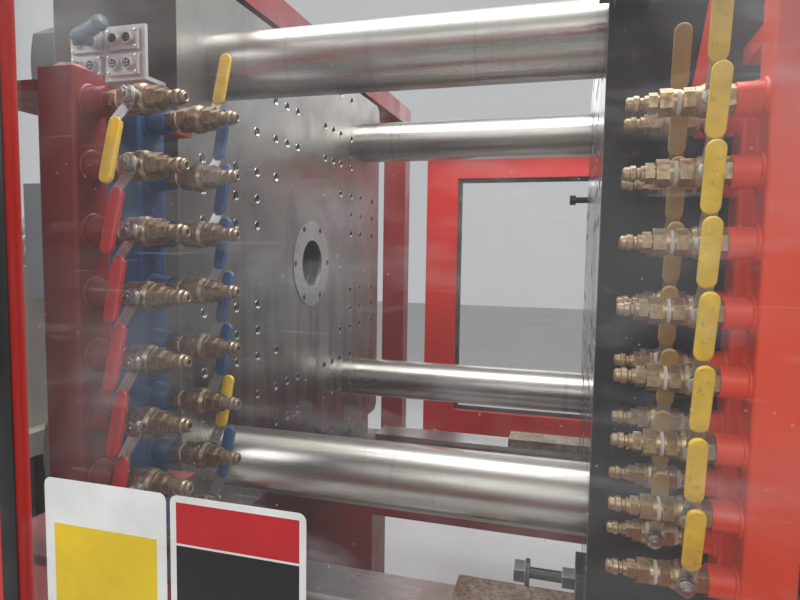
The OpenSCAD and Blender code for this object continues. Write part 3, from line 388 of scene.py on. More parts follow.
@dataclass(frozen=True)
class Brass:
    """Cast and turned brass gone brown, bright where spanners have rubbed it."""

    name: str
    colour: Colour = (0.50, 0.37, 0.19)
    tarnish: Colour = (0.16, 0.10, 0.055)
    amount: float = 0.7
    pale: Colour = (0.42, 0.33, 0.24)
    reddened: Colour = (0.30, 0.15, 0.09)
    dust_colour: Colour = (0.40, 0.36, 0.30)
    rubbed: Colour = (0.74, 0.60, 0.36)

    def build(self) -> bpy.types.Material:
        """Make the material."""
        g = Graph(self.name)
        drift = g.patches(24, 2, 0.5, 0.35, 0.65)
        spots = g.noise(150, 6, 0.72)
        base = g.mix(drift, self.colour, blend(self.colour, self.pale, 0.8))
        base = g.mix(g.level(spots, 0.44, 0.66, 0, self.amount), base, self.tarnish)
        base = g.mix(g.patches(60, 4, 0.6, 0.58, 0.68, 0.5), base, self.reddened)
        base = g.mix(g.times(g.facing_up(), 0.14), base, self.dust_colour)
        return g.done({
            "Base Color": g.mix(g.times(g.edges(0.0016), 0.7), base, self.rubbed),
            "Metallic": 0.9, "Roughness": g.level(spots, 0.35, 0.7, 0.30, 0.62),
            "Normal": g.bump(spots, 0.00010)})


@dataclass(frozen=True)
class Vinyl:
    """A dipped vinyl grip: soft gloss, finger grime and pale rubs on its edges."""

    name: str
    colour: Colour
    roughness: float = 0.38
    grime_colour: Colour = (0.12, 0.10, 0.08)
    rub_colour: Colour = (0.85, 0.82, 0.76)

    def build(self) -> bpy.types.Material:
        """Make the material."""
        g = Graph(self.name)
        drift = g.patches(38, 5, 0.6, 0.35, 0.7)
        base = g.mix(drift, self.colour, darker(self.colour, 0.70))
        grime = g.patches(170, 6, 0.7, 0.56, 0.68, 0.5)
        base = g.mix(grime, base, darker(blend(self.colour, self.grime_colour, 0.8), 0.7))
        rub = g.times(g.edges(0.002), g.patches(110, 4, 0.7, 0.45, 0.6, 0.5))
        dull, glossy = self.roughness * 1.4, self.roughness * 0.8
        return g.done({
            "Base Color": g.mix(rub, base, blend(self.colour, self.rub_colour, 0.5)),
            "Roughness": g.patches(90, 5, 0.5, 0.3, 0.7, dull, glossy),
            "Normal": g.bump(g.noise(300, 3), 0.00008)})


@dataclass(frozen=True)
class Plastic:
    """Moulded plastic or rubber with a fine texture and dust."""

    name: str
    colour: Colour
    roughness: float = 0.45
    dust_colour: Colour = (0.5, 0.48, 0.45)

    def build(self) -> bpy.types.Material:
        """Make the material."""
        g = Graph(self.name)
        drift = g.patches(9, 6, 0.6, 0.35, 0.7)
        base = g.mix(drift, self.colour, darker(self.colour, 0.75))
        dust = g.times(g.facing_up(), g.patches(40, 7, 0.7, 0.4, 0.7, 0.35, 0.05))
        dull, glossy = self.roughness * 1.25, self.roughness * 0.85
        return g.done({
            "Base Color": g.mix(dust, base, blend(self.colour, self.dust_colour, 0.7)),
            "Roughness": g.patches(22, 5, 0.5, 0.3, 0.7, dull, glossy),
            "Normal": g.bump(g.noise(700, 2), 0.00005)})


@dataclass(frozen=True)
class ClearSheet:
    """A polycarbonate pane with wiped haze, specks and fine scratches, seen through."""

    name: str
    haze: float = 0.095
    film: float = 0.032
    scratched: float = 0.09
    specked: float = 0.30

    def build(self) -> bpy.types.Material:
        """Make the material."""
        g = Graph(self.name)
        clouds = g.patches(4.5, 3, 0.62, 0.48, 0.76, self.haze, warp=0.6)
        wipes = g.patches(30, 3, 0.6, 0.56, 0.74, self.haze * 0.9, stretch=(0.35, 1, 1.1), warp=0.4)
        thinned = g.patches(11, 1, 0.5, 0.45, 0.6)
        specks = g.times(g.level(g.cells(75), 0.085, 0.05, 0.0, self.specked), thinned)
        scratches = g.patches(240, 2, 0.5, 0.70, 0.74, self.scratched, stretch=(0.04, 1, 1))
        cover = g.join("ADD", g.join("ADD", clouds, wipes), g.join("ADD", specks, scratches))
        # At grazing angles the pane is made more opaque, so its own reflection shows there; its
        # pale base colour showing there too is painted sheen.
        slant = g.node("ShaderNodeLayerWeight", {"Blend": 0.25}, "Facing")
        rim = g.level(slant, 0.6, 1.0, 0, 0.4)
        return g.done({"Alpha": g.join("ADD", g.join("ADD", cover, self.film), rim),
                       "Base Color": (0.66, 0.68, 0.70), "IOR": 1.58,
                       "Roughness": g.level(cover, 0.0, 0.5, 0.06, 0.5)})


class Stock(Enum):
    """The finishes that the machine is made in."""

    RED = Paint("dark red machine paint", (0.27, 0.016, 0.015))
    GATE_RED = Paint("bright red gate paint", (0.66, 0.028, 0.020), 0.30, 0.35, 0.4)
    HEADER_RED = Paint("orange red header paint", (0.92, 0.072, 0.014), 0.32, 0.34, 0.5)
    BLUE = Paint("blue header paint", (0.035, 0.10, 0.27), 0.40, 0.8, 0.7)
    YELLOW = Paint("yellow cover paint", (0.72, 0.44, 0.02), 0.38, 0.5, 0.6)
    CREAM = Paint("cream cabinet paint", (0.60, 0.575, 0.50), 0.42, 0.35, 0.3, 0.00018)
    BLACK = Paint("near-black machine paint", (0.022, 0.022, 0.024), 0.40, 0.6, 0.6)
    SLATE = Paint("slate grey machine paint", (0.105, 0.11, 0.118), 0.42, 0.6, 0.6)
    # The platens' dark side colour also darkens their hole walls as painted shade.
    FACE = PlatenSteel("ground platen face")
    BLACK_FACE = PlatenSteel("blackened platen face", (0.055, 0.054, 0.053),
                             (0.026, 0.025, 0.024), 0.22, runs=0.4)
    # Painted shade: the ring's dark side colour darkens its bore, screw holes and rim.
    RING_FACE = PlatenSteel("turned locating ring", (0.52, 0.51, 0.48),
                            (0.07, 0.065, 0.06), 0.34, runs=0.15)
    RING = Steel("turned ring steel", (0.50, 0.49, 0.47), 0.34, stains=0.35)
    WAY = Steel("oiled way steel", (0.40, 0.39, 0.37), 0.30, (0.02, 1, 1))
    DARK = Steel("black oxide steel", (0.075, 0.072, 0.07), 0.42, stain=(0.03, 0.028, 0.026),
                 metallic=0.8)
    BLUED = Steel("heat-tinted steel", (0.30, 0.25, 0.21), 0.38, (0.05, 1, 1),
                  (0.10, 0.07, 0.10), 0.7)
    STAINLESS = Steel("rolled stainless sheet", (0.56, 0.56, 0.55), 0.30, (1, 1, 0.03),
                      stains=0.2)
    BRONZE = Brass("bearing bronze", (0.22, 0.135, 0.065), (0.05, 0.032, 0.02), 0.8)
    BRASS = Brass("valve brass")
    DULL_BRASS = Brass("dull valve brass", (0.30, 0.235, 0.155), (0.10, 0.07, 0.045), 0.85)
    BAR = BarSteel("chromed bar steel")
    GRIP_YELLOW = Vinyl("yellow dipped vinyl", (0.92, 0.62, 0.04))
    GRIP_RED = Vinyl("red dipped vinyl", (0.50, 0.020, 0.025))
    GRIP_BLUE = Vinyl("blue dipped vinyl", (0.045, 0.12, 0.30))
    # Painted shade: the right rear row's yellow grips, darkened because they sit in shadow.
    GRIP_TAN = Vinyl("yellow dipped vinyl darkened as painted shade", (0.46, 0.31, 0.07), 0.5)
    GREY = Plastic("light grey plastic", (0.46, 0.46, 0.45))
    RUBBER = Plastic("black rubber", (0.018, 0.018, 0.019), 0.55)
    BUTTON = Plastic("signal red plastic", (0.62, 0.014, 0.012), 0.25)
    SOCKET = Plastic("white connector plastic", (0.62, 0.62, 0.60), 0.4)
    PLUG = Plastic("blue-grey plug plastic", (0.13, 0.19, 0.27), 0.32)
    CERAMIC = Plastic("glazed ceramic", (0.66, 0.62, 0.54), 0.25)
    SCREEN = Plastic("dark screen glass", (0.010, 0.012, 0.016), 0.08)
    PANE = ClearSheet("clear polycarbonate sheet")
    TAPE = Plastic("white thread tape", (0.72, 0.70, 0.66), 0.6)
    CARD_WHITE = Plastic("white card", (0.94, 0.94, 0.92), 0.35)
    CARD_YELLOW = Plastic("yellow card field", (0.92, 0.64, 0.02), 0.35)
    CARD_RED = Plastic("red card field", (0.62, 0.015, 0.02), 0.35)
    CARD_BLACK = Plastic("black card field", (0.012, 0.012, 0.013), 0.35)

    def material(self) -> bpy.types.Material:
        """Return the finish's material, made once."""
        return bpy.data.materials.get(self.value.name) or self.value.build()


STOCK_NODES: dict[Stock, tuple[str, ...]] = {
    Stock.RED: ("base_frame", "clamp_platen", "guard_frame", "left_red_header"),
    Stock.DARK: ("levelling_feet", "ring_screws", "tie_bar_nuts", "platen_fittings",
                 "near_gate_handle", "far_gate_handle"),
    Stock.WAY: ("bed_ways", "ejector_plate"),
    Stock.FACE: ("fixed_platen",),
    Stock.RING_FACE: ("locating_ring",),
    Stock.BAR: ("tie_bars", "clamp_ram"),
    Stock.BLACK: ("clamp_cylinder", "oil_tank", "drive_crosshead"),
    Stock.CREAM: ("clamp_guards", "control_cabinet", "injection_carriage"),
    Stock.BLUE: ("left_blue_header",),
    Stock.DULL_BRASS: ("left_valves",),
    Stock.SOCKET: ("connector_block",),
    Stock.BLACK_FACE: ("moving_platen",),
    Stock.BRONZE: ("platen_shoes", "platen_bushes"),
    Stock.HEADER_RED: ("right_headers",),
    Stock.BRASS: ("right_valves",),
    Stock.GATE_RED: ("near_gate_frame", "far_gate_frame"),
    Stock.PANE: ("near_gate_window", "far_gate_window"),
    Stock.BLUED: ("barrel", "nozzle"),
    Stock.STAINLESS: ("heater_bands", "hopper", "hopper_lid"),
    Stock.RING: ("screw",),
    Stock.SLATE: ("purge_guard",),
    Stock.BUTTON: ("e_stop_button",),
}


class Shape:
    """A bmesh in millimetres from the mould face's centre, with the forms that the pieces use."""

    def __init__(self) -> None:
        """Start an empty mesh whose next faces take the first material."""
        self.bm = bmesh.new()
        self.slot = 0

    def finish(self, verts: Sequence[Vert], matrix: Matrix) -> list[Face]:
        """Place new vertices and give their faces the current material."""
        bmesh.ops.transform(self.bm, matrix=matrix, verts=verts)
        faces = list({f for v in verts for f in v.link_faces})
        for face in faces:
            face.material_index = self.slot
        return faces

    def added(self, before: set[Vert]) -> list[Vert]:
        """Return the vertices that weren't there before."""
        return [v for v in self.bm.verts if v not in before]

    def round_off(self, edges: Iterable[Edge], width: float, segments: int = 2) -> None:
        """Bevel edges."""
        bmesh.ops.bevel(self.bm, geom=list(edges), offset=width, segments=segments,
                        affect="EDGES", profile=0.5, material=-1, clamp_overlap=True)

    def block(self, x0: float, x1: float, y0: float, y1: float, z0: float, z1: float,
              bevel: float = 0.0) -> None:
        """Add a box, with its edges rounded where a bevel is given."""
        verts = bmesh.ops.create_cube(self.bm, size=1)["verts"]
        size = Matrix.Diagonal((x1 - x0, y1 - y0, z1 - z0, 1))
        middle = Matrix.Translation(((x0 + x1) / 2, (y0 + y1) / 2, (z0 + z1) / 2))
        faces = self.finish(verts, middle @ size)
        if bevel:
            self.round_off({e for f in faces for e in f.edges}, bevel)

    def rod(self, start: Vector, direction: Vector, length: float, radius: float,
            sides: int = 24, end_radius: float | None = None, bevel: float = 0.0) -> None:
        """Add a cylinder, cone or prism from a point along a direction."""
        made = bmesh.ops.create_cone(
            self.bm, cap_ends=True, segments=sides, radius1=radius,
            radius2=radius if end_radius is None else end_radius, depth=length)
        turn = direction.to_track_quat("Z", "Y").to_matrix().to_4x4()
        matrix = Matrix.Translation(start) @ turn @ Matrix.Translation((0, 0, length / 2))
        faces = self.finish(made["verts"], matrix)
        if bevel:
            self.round_off({e for f in faces if len(f.verts) > 4 for e in f.edges}, bevel)

    def screw(self, at: Vector, out: Vector, radius: float = 5.6) -> None:
        """Add a washer and a low dome head that stand on a face."""
        self.rod(at, out, 1.0, radius * 1.35, 20, bevel=0.3)
        self.rod(at + out, out, radius * 0.57, radius, 18, radius * 0.75, bevel=radius * 0.09)

    def screws(self, spots: Iterable[tuple[float, float]], y: float, out: Vector,
               radius: float = 5.6) -> None:
        """Add a screw at each x and z on a face at y."""
        for x, z in spots:
            self.screw(Vector((x, y, z)), out, radius)

    def hexagon(self, at: Vector, out: Vector, radius: float, height: float) -> None:
        """Add a hexagon head with rounded corners on a washer."""
        self.rod(at, out, 1.6, radius * 1.25, 24, bevel=0.4)
        self.rod(at + out * 1.6, out, height, radius, 6, bevel=radius * 0.08)

    def ring(self, centre: Vector, direction: Vector, radius: float, thick: float,
             sides: int = 24, facets: int = 8, ripple: float = 0.0) -> None:
        """Add a torus by spinning a small circle.

        Args:
            centre: The ring's centre.
            direction: The ring's axis.
            radius: From the centre to the middle of the ring's own section.
            thick: Radius of the section.
            sides: Steps round the ring.
            facets: Sides of the section.
            ripple: How far each vertex may wander, as on a weld bead.
        """
        before = set(self.bm.verts)
        turn = direction.to_track_quat("Z", "Y").to_matrix().to_4x4()
        made = bmesh.ops.create_circle(self.bm, cap_ends=False, segments=facets,
                                       radius=thick)["verts"]
        first = Matrix.Translation((radius, 0, 0)) @ Matrix.Rotation(math.pi / 2, 4, "X")
        bmesh.ops.transform(self.bm, matrix=first, verts=made)
        edges = list({e for v in made for e in v.link_edges})
        bmesh.ops.spin(self.bm, geom=made + edges, cent=(0, 0, 0), axis=(0, 0, 1),
                       angle=FULL_TURN, steps=sides, use_merge=True)
        verts = self.added(before)
        for vert in verts if ripple else ():
            vert.co += Vector([random.uniform(-1, 1) for _ in range(3)]) * ripple
        self.finish(verts, Matrix.Translation(centre) @ turn)

    def drop(self, centre: Vector, radius: float, squash: float = 1.0) -> None:
        """Add a small rounded blob, such as weld spatter."""
        made = bmesh.ops.create_icosphere(self.bm, subdivisions=1, radius=radius)["verts"]
        self.finish(made, Matrix.Translation(centre) @ Matrix.Diagonal((squash, 1, 1, 1)))

    def piece(self, name: str, body: str, stocks: Sequence[Stock],
              smooth: float = 35.0) -> bpy.types.Object:
        """Turn the mesh into a piece that rides on a body.

        Args:
            name: The piece's name.
            body: The CAD body that it moves with.
            stocks: Finishes, in the order of the faces' material numbers.
            smooth: Edges sharper than this angle, in degrees, stay sharp.

        Returns:
            The new object.
        """
        bmesh.ops.transform(self.bm, matrix=TO_FRAME, verts=self.bm.verts)
        bmesh.ops.recalc_face_normals(self.bm, faces=self.bm.faces)
        limit = math.radians(smooth)
        for face in self.bm.faces:
            face.smooth = True
        for edge in self.bm.edges:
            edge.smooth = len(edge.link_faces) == 2 and edge.calc_face_angle(0) < limit
        mesh = bpy.data.meshes.new(name)
        self.bm.to_mesh(mesh)
        self.bm.free()
        for stock in stocks:
            mesh.materials.append(stock.material())
        made = bpy.data.objects.new(name, mesh)
        bpy.context.scene.collection.objects.link(made)
        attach(made, body)
        LOG.info("piece %s on %s, %d faces", name, body, len(mesh.polygons))
        return made


@dataclass
class Lever:
    """A flat steel valve lever with a cranked neck and a dipped grip, its hub at y = -hub_y."""

    hub_y: float = 22.0
    hub_r: float = 9.6
    washer_t: float = 1.2
    nut_h: float = 6.0
    stem_sunk: float = 0.8
    steel_t: float = 2.6
    neck_w: float = 14.0
    neck_len: float = 24.0
    neck_tilt: float = 40.0
    tang: float = 12.0
    grip_tilt: float = 12.0
    grip_w: float = 18.0
    grip_len: float = 69.0
    grip_t: float = 6.4

    def build(self, shape: Shape, turn: Matrix) -> None:
        """Add the lever to a mesh: steel on the first material, vinyl on the second.

        Args:
            shape: The mesh.
            turn: Places the lever, whose stem lies on the y axis and whose grip points up.
        """
        hub = turn @ Matrix.Translation((0, -self.hub_y, 0))
        axis = (hub.to_3x3() @ -Y_AXIS).normalized()
        nut_y = self.steel_t + self.washer_t
        stem_y = nut_y + self.nut_h - self.stem_sunk
        shape.slot = 0
        self._strip(shape, hub)
        for y, height, radius, sides, bevel in (
                (self.steel_t, self.washer_t, 8.2, 20, 0.3), (nut_y, self.nut_h, 7.3, 6, 0.5),
                (stem_y, 3.4, 4.0, 16, 0.6)):
            shape.rod(hub @ Vector((0, -y, 0)), axis, height, radius, sides, bevel=bevel)
        shape.slot = 1
        self._grip(shape, hub)

    def _neck_end(self, start: float) -> Vector:
        """Return where the neck ends when it starts at a height above the hub."""
        tilt = math.radians(self.neck_tilt)
        return Vector((0, -self.neck_len * math.sin(tilt), start + self.neck_len * math.cos(tilt)))

    def _strip(self, shape: Shape, hub: Matrix) -> None:
        """Add the hub plate and the bent neck, by pulling one end face along the bends."""
        faces = set(shape.bm.faces)
        shape.rod(Vector((0, 0, 0)), -Y_AXIS, self.steel_t, self.hub_r, 28, bevel=0.4)
        lay = math.radians(self.grip_tilt)
        points = [Vector((0, 0, 3)), Vector((0, 0, 10.5)), self._neck_end(10)]
        points.append(points[-1] + Vector((0, -math.sin(lay), math.cos(lay))) * self.tang)
        verts = [shape.bm.verts.new((sx * self.neck_w / 2, -sy * self.steel_t, points[0].z))
                 for sx, sy in ((-1, 0), (1, 0), (1, 1), (-1, 1))]
        end = shape.bm.faces.new(verts)
        for before, after in zip(points, points[1:]):
            made = bmesh.ops.extrude_face_region(shape.bm, geom=[end])["geom"]
            bmesh.ops.translate(shape.bm, vec=after - before,
                                verts=[v for v in made if isinstance(v, Vert)])
            end = next(f for f in made if isinstance(f, Face))
        new = [f for f in shape.bm.faces if f not in faces]
        shape.finish(list({v for f in new for v in f.verts}), hub)

    def _grip(self, shape: Shape, hub: Matrix) -> None:
        """Add the grip: a flat paddle with round ends and soft edges."""
        lie = Matrix.Translation(self._neck_end(8)) @ Matrix.Rotation(
            math.radians(self.grip_tilt), 4, "X")
        before = set(shape.bm.verts)
        verts = bmesh.ops.create_cube(shape.bm, size=1)["verts"]
        size = Matrix.Diagonal((self.grip_w, self.grip_t, self.grip_len, 1))
        middle = Matrix.Translation((0, 0.6 - self.steel_t / 2, self.grip_len / 2))
        bmesh.ops.transform(shape.bm, matrix=middle @ size, verts=verts)
        across = [e for e in {e for v in verts for e in v.link_edges}
                  if abs((e.verts[0].co - e.verts[1].co).y) > self.grip_t * 0.9]
        shape.round_off(across, self.grip_w * 0.485, 7)
        rim = {e for v in shape.added(before) for e in v.link_edges
               if len(e.link_faces) == 2 and e.calc_face_angle(0) > 1.0}
        shape.round_off(rim, 1.9, 3)
        shape.finish(shape.added(before), hub @ lie)


@dataclass(frozen=True)
class ValveRow:
    """One row of ball valves: where its header's face is and how its levers lie."""

    name: str
    body: str
    header_x: float
    y: float
    top: float
    way: int
    spaced: bool
    hangs: bool
    near: bool
    grips: tuple[Stock, ...]
    header: Stock
    slot: str
    joined: str | None = None
    lean: float = 0.0
    grip_w: float = 18.0
    pitch: float = 70.0
    stub: float = 27.0
    spacer: float = 18.0
    valve: float = 46.0
    bush: float = 24.0
    nipple: float = 29.0

    def z(self, i: int) -> float:
        """Return the height of one valve's axis."""
        return self.top - i * self.pitch

    def start(self) -> float:
        """Return the x at which the valves' trains start."""
        return self.header_x + self.way * self.stub

    def stem(self) -> float:
        """Return the x of the valves' stems."""
        return self.start() + self.way * ((self.spacer if self.spaced else 0) + self.valve / 2)

    def end(self) -> float:
        """Return the x of the hose tails' ends."""
        joint = self.spacer if self.spaced else self.bush
        return self.start() + self.way * (self.valve + self.nipple + joint)

    def lever_place(self, i: int) -> Matrix:
        """Return what places a lever of this row, a little out of true as used levers are."""
        turn = Matrix.Scale(-1, 4, Z_AXIS) if self.hangs else Matrix()
        side = Matrix() if self.near else Matrix.Scale(-1, 4, Y_AXIS)
        loose = self.lean + random.uniform(-1.5, 1.5)
        lie = Matrix.Rotation(math.radians(loose), 4, "Y")
        return Matrix.Translation((self.stem(), self.y, self.z(i))) @ turn @ side @ lie


BLUE_ROW = (Stock.GRIP_YELLOW, *(Stock.GRIP_BLUE,) * 5, Stock.GRIP_YELLOW, Stock.GRIP_BLUE)
RED_ROW = (Stock.GRIP_YELLOW, *(Stock.GRIP_RED,) * 7)
VALVE_ROWS = (
    ValveRow("left_front", "root", 75, -750, 188, 1, True, True, True, RED_ROW, Stock.RED,
             "grip_red", lean=-2.5, grip_w=15),
    ValveRow("left_rear", "root", 75, -650, 188, 1, True, False, False, BLUE_ROW, Stock.BLUE,
             "grip_blue", "left_rear_handles", 4, 16),
    ValveRow("right_front", "platen", 762, -635, 184, -1, False, False, True,
             (Stock.GRIP_YELLOW,) * VALVES, Stock.HEADER_RED, "grip_yellow"),
    # The right rear row's grips are yellow, darkened as painted shade.
    ValveRow("right_rear", "platen", 762, -535, 184, -1, True, False, True,
             (Stock.GRIP_TAN,) * VALVES, Stock.HEADER_RED, "grip_yellow", "right_rear_handles"),
)


@dataclass
class Manifolds:
    """Levers, weld beads, thread tape and hose tail rims, with painted shade in the tails' bores,
    of the four rows of ball valves.
    """

    stub_r: float = 16.5
    bead: float = 3.0
    bead_ripple: float = 0.45
    tape_r: float = 10.6
    tape_t: float = 0.95
    laps: int = 3
    mouth_r: float = 3.6

    def build(self) -> None:
        """Make what the CAD rows lack, row by row."""
        for row in VALVE_ROWS:
            self._levers(row)
            self._beads(row)
            self._tape(row)
            self._mouths(row)

    def _levers(self, row: ValveRow) -> None:
        """Make a row's levers, each on the body that its CAD lever has."""
        side = row.name.split("_")[0]
        for i in range(VALVES):
            shape = Shape()
            Lever(grip_w=row.grip_w).build(shape, row.lever_place(i))
            body = row.body if row.joined else f"{side}_lever_{i + 1}"
            made = shape.piece(f"{row.name}_lever_{i + 1}", body, (Stock.RING, row.grips[i]))
            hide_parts(row.joined or f"{side}_handle_{i + 1}")

    def _beads(self, row: ValveRow) -> None:
        """Add a rough weld bead round each stub, with spatter on the header and on the stub."""
        shape = Shape()
        for i in range(VALVES):
            foot = Vector((row.header_x, row.y, row.z(i)))
            shape.ring(foot, X_AXIS, self.stub_r + 0.8, self.bead, 22, 7, ripple=self.bead_ripple)
            for _ in range(7):
                turn, reach = random.uniform(0, FULL_TURN), random.uniform(19.5, 24)
                shape.drop(foot + around("X", turn, reach), random.uniform(0.5, 1.3), 0.6)
            for _ in range(5):
                turn, along = random.uniform(0, FULL_TURN), random.uniform(5, row.stub - 3)
                spot = foot + around("X", turn, self.stub_r) + X_AXIS * (row.way * along)
                shape.drop(spot, random.uniform(0.4, 1.0))
        shape.piece(f"{row.name}_weld_beads", row.body, (row.header,), 60)

    def _tape(self, row: ValveRow) -> None:
        """Add the laps of thread tape that show at each joint of the trains."""
        shape = Shape()
        offset = (row.spacer - 4) if row.spaced else (row.valve + 3)
        radius = self.tape_r if row.spaced else self.tape_r + 1.2
        for i, lap in product(range(VALVES), range(self.laps)):
            at = row.start() + row.way * (offset + lap * 1.7)
            shape.ring(Vector((at, row.y, row.z(i))), X_AXIS, radius, self.tape_t, 20, 6,
                       ripple=0.12)
        shape.piece(f"{row.name}_thread_tape", row.body, (Stock.TAPE,), 60)

    def _mouths(self, row: ValveRow) -> None:
        """Add the worn rim of each hose tail, and a black disc in its open end as painted shade."""
        shape = Shape()
        for i in range(VALVES):
            at = Vector((row.end(), row.y, row.z(i)))
            shape.slot = 0
            shape.ring(at, X_AXIS, self.mouth_r + 0.6, 0.9, 20, 6)
            # Painted shade: a thin black disc stands in for the shade inside the tail's bore.
            shape.slot = 1
            shape.rod(at, X_AXIS * row.way, 0.3, self.mouth_r, 20)
        shape.piece(f"{row.name}_hose_tail_rims_and_bore_shade", row.body, (Stock.BRASS, Stock.RUBBER))


@dataclass
class Platens:
    """The rims and first threads of the tapped holes in both mould faces."""

    inch: float = 25.4
    hole_r: float = 8.4
    thread_pitch: float = 2.6
    near: tuple[int, ...] = (3, 5, 7)
    far: tuple[int, ...] = (10, 13, 17)
    moving_x: float = 620.0

    def holes(self) -> list[tuple[float, float]]:
        """Return the tapped holes' y and z, on whole inches."""
        quarter = [*product(self.far, self.near), *product(self.near, self.far),
                   (7, 7), (10, 10), (10, 13), (10, 17)]
        return [(sy * a * self.inch, sz * b * self.inch)
                for a, b in quarter for sy in (-1, 1) for sz in (-1, 1)]

    def build(self) -> None:
        """Make the rims and threads of both platens."""
        for name, body, x, way in (("fixed", "root", 0.0, -1),
                                   ("moving", "platen", self.moving_x, 1)):
            shape = Shape()
            for y, z in self.holes():
                shape.ring(Vector((x - way * 0.05, y, z)), X_AXIS, self.hole_r + 0.25, 0.55, 18, 4)
                for turn in (1, 2):
                    depth = Vector((x + way * turn * self.thread_pitch, y, z))
                    shape.ring(depth, X_AXIS, self.hole_r, 0.6, 14, 4)
            shape.piece(f"{name}_platen_thread_rims", body, (Stock.RING,), 60)


@dataclass
class Gate:
    """A sliding gate's rubber lip, frame screws, hanger bolts and interlock box."""

    name: str
    side: int
    window: Span
    hangers: tuple[float, ...]
    top: float
    outer_y: float = 890.0
    lip: float = 14.0
    lip_outside: float = 4.0
    screw_in: float = 22.0
    box_w: float = 44.0
    box_h: float = 66.0
    box_t: float = 22.0

    def build(self) -> None:
        """Make the gate's details."""
        x0, x1, z0, z1 = self.window
        body = f"{self.name}_gate"
        face = self.side * self.outer_y
        out = Vector((0, self.side, 0))
        lip = Shape()
        y0, y1 = sorted((face, self.side * (self.outer_y + 2.0)))
        for a0, a1, c0, c1 in border(x0, x1, z0, z1, self.lip, self.lip_outside):
            lip.block(a0, a1, y0, y1, c0, c1, 0.6)
        lip.piece(f"{self.name}_gate_rubber_lip", body, (Stock.RUBBER,))
        screws = Shape()
        sides = (x0 - self.screw_in, x1 + self.screw_in)
        ends = (z0 - self.screw_in, z1 + self.screw_in)
        screws.screws(product(evenly(*sides, 7), ends), face, out)
        screws.screws(product(sides, evenly(z0, z1, 5)[1:-1]), face, out)
        for x, along, rise in product(self.hangers, (22, 68), (24, 78)):
            screws.hexagon(Vector((x + along, face, self.top + rise)), out, 9, 6)
        screws.piece(f"{self.name}_gate_screws", body, (Stock.RING,))
        self._interlock(body, out)

    def _interlock(self, body: str, out: Vector) -> None:
        """Add the interlock's box and its two screws at the frame's upper corner."""
        shape = Shape()
        cover = self.side * (self.outer_y + self.box_t)
        y0, y1 = sorted((self.side * (self.outer_y - 0.5), cover))
        right, top = self.window[1] + 60, self.top - 26
        shape.block(right - self.box_w, right, y0, y1, top - self.box_h, top, 4)
        shape.screws(product((right - self.box_w / 2,), (top - 56, top - 10)), cover, out, 4)
        shape.piece(f"{self.name}_gate_interlock", body, (Stock.RUBBER,))


@dataclass
class Cards:
    """The two blank cards stuck on the near gate's pane, with plain fields of colour."""

    pane_y: float = -879.0
    top: float = -179.0
    height: float = 160.0
    corner: float = 7.0

    def build(self) -> None:
        """Make the cards."""
        self._card("plain_card", 132, 262, ((10, 10, 42, 10, Stock.CARD_YELLOW),))
        self._card("banded_card", 266, 393, ((6, 6, 6, 118, Stock.CARD_RED),
                                             (6, 6, 44, 6, Stock.CARD_BLACK)))

    def _card(self, name: str, x0: float, x1: float,
              fields: Sequence[tuple[float, float, float, float, Stock]]) -> None:
        """Make a card whose fields are given by their margins: left, right, top and bottom."""
        shape = Shape()
        y, z0, z1 = self.pane_y, self.top - self.height, self.top
        shape.block(x0, x1, y - 0.35, y - 0.05, z0, z1)
        corners = [e for e in shape.bm.edges if abs((e.verts[0].co - e.verts[1].co).y) > 0.2]
        shape.round_off(corners, self.corner, 5)
        stocks = [Stock.CARD_WHITE]
        for left, right, top, low, stock in fields:
            stocks.append(stock)
            shape.slot = len(stocks) - 1
            shape.block(x0 + left, x1 - right, y - 0.45, y - 0.30, z0 + low, z1 - top)
        shape.piece(name, "near_gate", stocks)


@dataclass
class Connector:
    """The four-gang block's sockets and screws, and the blank plug in one of its sockets."""

    face_y: float = -547.0
    peg_y: float = -552.0
    first_x: float = -120.0
    first_z: float = 298.0
    step_x: float = 64.0
    step_z: float = 36.0
    socket_x: float = 12.0
    screw_x: float = 23.5
    screw_z: float = 11.5

    def build(self) -> None:
        """Make the block's details."""
        shape = Shape()
        for i, j, side in product(range(2), range(2), (-1, 1)):
            x, z = self.first_x + i * self.step_x, self.first_z + j * self.step_z
            self._socket(shape, Vector((x + side * self.socket_x, self.peg_y, z)))
            for rise in (-self.screw_z, self.screw_z):
                at = Vector((x + side * self.screw_x, self.face_y, z + rise))
                shape.rod(at, -Y_AXIS, 1.2, 2.2, 12, bevel=0.3)
        shape.piece("connector_sockets", "root", (Stock.SOCKET, Stock.RUBBER, Stock.RING))
        plug = Shape()
        foot = Vector((self.first_x + self.socket_x, self.peg_y, self.first_z + self.step_z))
        plug.rod(foot, -Y_AXIS, 20, 9.6, 28, bevel=2)
        along, heel = Vector((0.93, -0.10, 0.33)).normalized(), foot + Vector((-9, -17, -3))
        plug.rod(heel, along, 60, 11.0, 32, 9.5, bevel=3.5)
        for step in (6, 9, 12, 48, 51):
            plug.ring(heel + along * step, along, 10.6, 0.9, 28, 6)
        plug.piece("connector_plug", "root", (Stock.PLUG,))

    def _socket(self, shape: Shape, peg: Vector) -> None:
        """Add a socket's rim, a black disc on its floor as painted shade, and four contacts."""
        shape.slot = 0
        shape.ring(peg, Y_AXIS, 7.6, 1.2, 24, 6)
        # Painted shade: a thin black disc stands in for the shade inside the socket.
        shape.slot = 1
        shape.rod(peg, -Y_AXIS, 0.35, 6.2, 24)
        shape.slot = 2
        for degrees in (45, 135, 225, 315):
            contact = peg + around("Y", math.radians(degrees), 3.2)
            shape.rod(contact, -Y_AXIS, 1.4, 0.8, 10)


